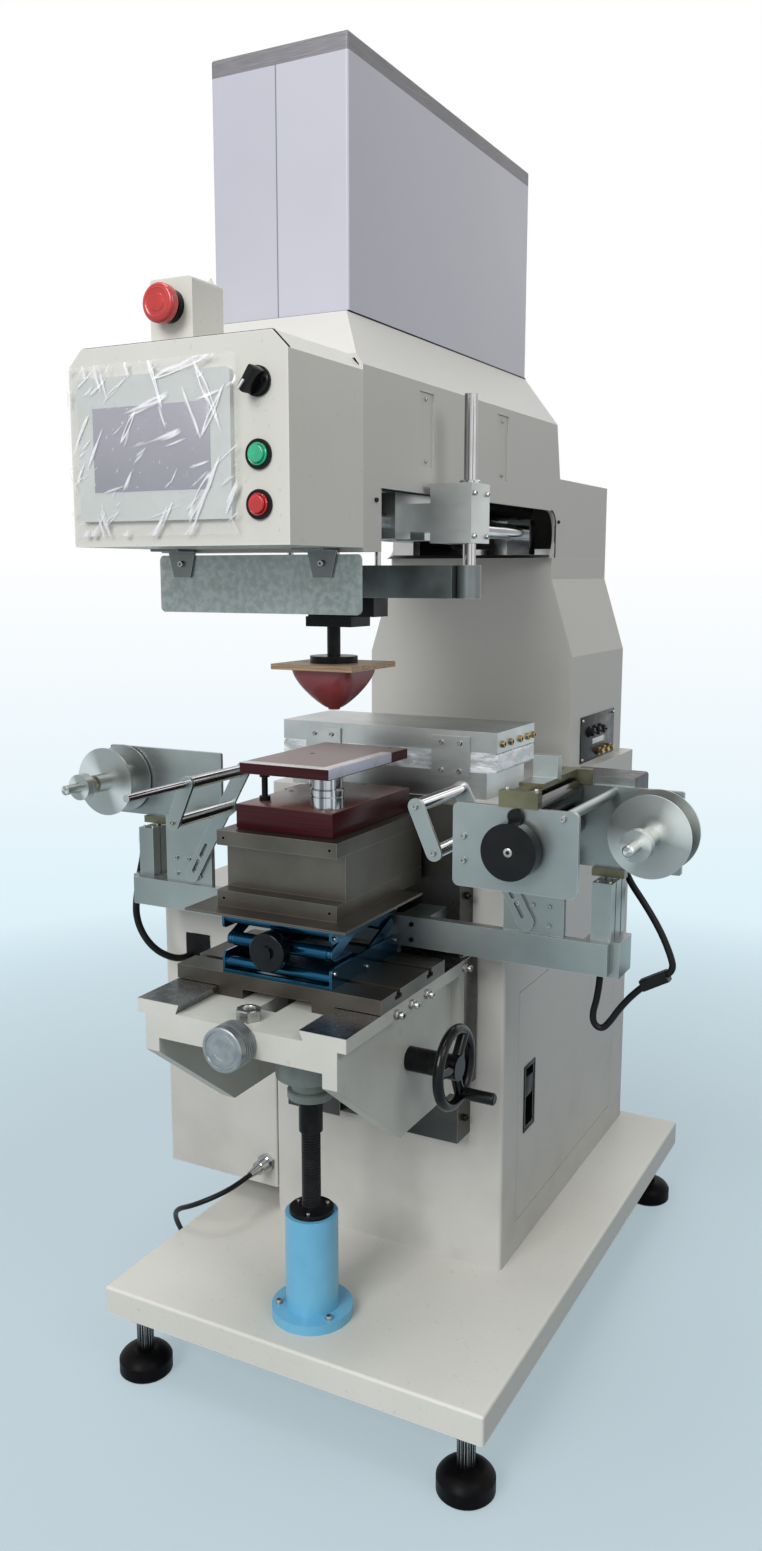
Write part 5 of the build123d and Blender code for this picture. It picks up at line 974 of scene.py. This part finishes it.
# Pad head
# A dark cross bar carries chromed guide rods and a black clamp and stem. The silicone pad is
# moulded on a square of plywood whose layers show at the edges.
bar_finish = Finish("dark grey bar", roughness=0.34, metallic=0.75)
bar_finish.clouded((0.10, 0.115, 0.112), (0.17, 0.19, 0.187), 14.0, 5.0,
                   edge=(0.001, 0.7, (0.5, 0.5, 0.48)), rough=(0.16, 0.26))
bar_finish.grain(60.0, 0.1, 0.0003, 3.0, (1, 40, 40))
cross_bar = coat("cross_bar", bar_finish, chrome_finish, black_finish)
faces_in(cross_bar, (-80, 130, 1007.2), (205, 180, 1300), 1)
faces_in(cross_bar, (-80, 120, 942), (205, 190, 967.2), 2)
wood_finish = Finish("plywood", roughness=0.5)
wood_rings = wood_finish.between(wood_finish.noise(18.0, 4.0, (1, 6, 30)), 0.35, 0.65)
wood_finish.feed(Base_Color=wood_finish.mix(wood_rings, (0.26, 0.16, 0.09), (0.50, 0.35, 0.21)),
                 Roughness=wood_rings * 0.15 + 0.42)
wood_finish.bump(wood_rings, 0.2, 0.0004)
pad_stem = coat("pad_stem", black_finish, wood_finish)
faces_in(pad_stem, (-61, 94, 875.5), (61, 216, 883.2), 1)
silicone_finish = Finish("red brown silicone", roughness=0.36, Coat_Weight=0.2, Subsurface_Weight=0.08)
silicone_finish.clouded((0.22, 0.035, 0.040), (0.29, 0.052, 0.055), 22.0, rough=(0.12, 0.3))
silicone_finish.grain(180.0, 0.06, 0.0005)
coat("silicone_pad", silicone_finish)
cap_screws("clamp_screws", "pad_head", (0, -1, 0), 2.4, [(-22, 135, 955), (22, 135, 955)])

# Deflector plate
# Zinc plated sheet with a greenish bloom. It hangs from the panel box on two dark grey angle
# brackets, each held by one screw.
zinc_finish = Finish("zinc plated sheet", roughness=0.36, metallic=0.7)
zinc_cloud = zinc_finish.between(zinc_finish.noise(7.0, 6.0), 0.35, 0.68)
zinc_spangle = zinc_finish.between(zinc_finish.noise(120.0, 2.0), 0.4, 0.62)
zinc_color = zinc_finish.mix(zinc_cloud, (0.20, 0.24, 0.23), (0.31, 0.35, 0.34))
zinc_finish.feed(Base_Color=zinc_finish.mix(zinc_spangle * 0.25, zinc_color, (0.52, 0.56, 0.55)),
                 Roughness=zinc_cloud * 0.15 + 0.3)
zinc_finish.grain(200.0, 0.08, 0.0003)
deflector = coat("deflector_plate", zinc_finish, bar_finish)
faces_in(deflector, (-140, -70, 940), (140, -23.4, 1030), 1)
cap_screws("bracket_bolts", "frame", (0, -1, 0), 3.6, [(-104, -26, 1008), (90, -26, 1008)])

# Reel beam and lift cylinders
# A bare flat bar across the machine. A small square air cylinder stands at each end with cap
# screws in its top, a white elbow at the left and a white sensor at the right.
milled_finish = Finish("milled plate", roughness=0.32, metallic=0.85)
milled_lines = milled_finish.noise(50.0, 3.0, (1, 25, 25))
milled_finish.clouded((0.21, 0.24, 0.235), (0.33, 0.365, 0.355), 6.0, 5.0, spread=(0.32, 0.7),
                      edge=(0.001, 0.6, (0.62, 0.64, 0.63)))
milled_finish.feed(Roughness=milled_lines * 0.2 + 0.26)
milled_finish.bump(milled_lines, 0.07, 0.0002)
coat("reel_beam", milled_finish)
lift_cylinders = coat("lift_cylinders", milled_finish, white_finish)
faces_in(lift_cylinders, (-400, 200, 580), (-367.5, 260, 610), 1)
faces_in(lift_cylinders, (325, 195, 560), (340.8, 275, 600), 1)
cap_screws("cylinder_screws", "frame", (0, 0, 1), 2.3,
           [(x, y, 619.6) for x in (-362, -346, 346, 362) for y in (207, 251)])
cap_screws("beam_screws", "frame", (0, -1, 0), 3.2,
           [(x, 185, z) for x in (-100, 100) for z in (516, 537)], black_finish, "black_oxide")

# Film plates, feed rollers and motor
# Milled plates with rounded corners. The blocks clamped on their tops are olive anodised, a pale
# green angle holds the sensor, and the motor behind is black.
clamp_low, clamp_high = 620, 632.9
film_front = 45
olive_finish = Finish("olive anodised block", roughness=0.34, metallic=0.7)
olive_finish.clouded((0.11, 0.108, 0.062), (0.18, 0.175, 0.11), 20.0, rough=(0.15, 0.26))
olive_finish.grain(200.0, 0.08, 0.0003)
pale_green_finish = Finish("pale green angle", roughness=0.35, metallic=0.5)
pale_green_finish.clouded((0.22, 0.36, 0.30), (0.32, 0.47, 0.41), 20.0)
pale_green_finish.grain(200.0, 0.08, 0.0003)
film_left = coat("film_plate_left", milled_finish, olive_finish)
faces_in(film_left, (-400, 200, clamp_low), (-300, 245, clamp_high), 1)
film_right = coat("film_plate_right", milled_finish, olive_finish, pale_green_finish, plastic_finish)
faces_in(film_right, (300, 200, clamp_low), (400, 245, clamp_high), 1)
faces_in(film_right, (275, 40, 737.1), (330, 300, 760), 1)
faces_in(film_right, (286, 237.5, 660), (382, 300, 750), 3)
faces_in(film_right, (225, 60, 737.5), (279.5, 250, 830), 2)
cap_screws("front_plate_screws", "film_right", (0, -1, 0), 3.6,
           [(356, film_front, 729), (236, film_front, 698), (236, film_front, 669)])
cap_screws("film_block_screws", "film_right", (0, 0, 1), 2.4, [(286, 52, 756), (321, 52, 756)])
coat("drive_roller", gloss_finish)
coat("pinch_roller", gloss_finish)
centre_outline = [(5.2, -0.3), (5.2, 0.3), (4.6, 0.7), (2.2, 0.7, 6), (2.1, -0.2, 6)]
piece("drive_knob_centre", turnings((0, -1, 0), centre_outline, 24, (301, 19, 690)), "drive_roller",
      "bright_steel", zinc_bolt_finish)

# Reels
# Turned aluminium flanges on bright shafts with set collars. Their faces carry fine circular tool
# marks, and a brass washer sits before the left one.
reel_x, reel_level = 0.415, 0.828
ring_count = 1400.0
reel_finish = Finish("turned aluminium", roughness=0.24, metallic=0.95)
reel_across = reel_finish.node("ShaderNodeMath", {"operation": "ABSOLUTE"}, {0: reel_finish.axis("X")})
reel_across = reel_across - reel_x
reel_up = reel_finish.axis("Z") - reel_level
reel_radius = (reel_across * reel_across + reel_up * reel_up) ** 0.5
reel_angle = reel_across.maths("ARCTAN2", reel_up, reel_across)
reel_rings = reel_finish.bands(reel_radius * ring_count)
# Painted highlight: light radial rays across the faces, as turned discs reflect.
reel_ray_highlight = reel_finish.node("ShaderNodeMath", {"operation": "SINE"}, {0: reel_angle * 2.0 + 0.6})
reel_ray_highlight = reel_finish.between(reel_ray_highlight * 0.5 + 0.5, 0.55, 0.98)
reel_color = reel_finish.mix(reel_rings, (0.27, 0.29, 0.28), (0.36, 0.38, 0.37))
reel_finish.feed(Base_Color=reel_finish.mix(reel_ray_highlight * 0.8, reel_color, (0.72, 0.75, 0.72)),
                 Roughness=reel_rings * 0.1 + 0.30)
reel_finish.bump(reel_rings, 0.03, 0.0002)
washer_outline = [(7.2, -0.5), (12.5, -0.4), (12.5, 9), (10.5, 10), (7.2, 10)]
for name, x, finish in (("left", -415, brass_finish), ("right", 415, zinc_bolt_finish)):
    coat("reel_" + name, reel_finish)
    piece("reel_washer_" + name, turnings((0, 1, 0), washer_outline, 32, (x, 141, 688)), "reel_" + name,
          "nickel", finish)

# Guide plates, arms and guide bars
# Milled plates screwed to the beam, slotted and plain arms of flat bar clamped to them, and chromed
# bars between the arms that lead the film.
coat("guide_arms", milled_finish)
coat("guide_bars", chrome_finish)
cap_screws("guide_plate_screws", "frame", (0, -1, 0), 2.9,
           [(side * x, 191, z) for side in (-1, 1) for x in (248, 268, 290) for z in (560, 584)])
cap_screws("arm_screws", "frame", (0, -1, 0), 3.4,
           [(side * x, 56, z) for side in (-1, 1) for x, z in ((168, 724), (192, 670))])

# Switch box and gland
# A folded sheet box in the same grey enamel, fixed to the left of the cabinet. It has a black rocker
# inlet at the front and a bright cable gland low on its side.
switch_box = coat("switch_box", grey_finish, plastic_finish)
faces_in(switch_box, (-357, 290, 384), (-309, 295.9, 434), 1)
coat("cord_gland", chrome_finish)
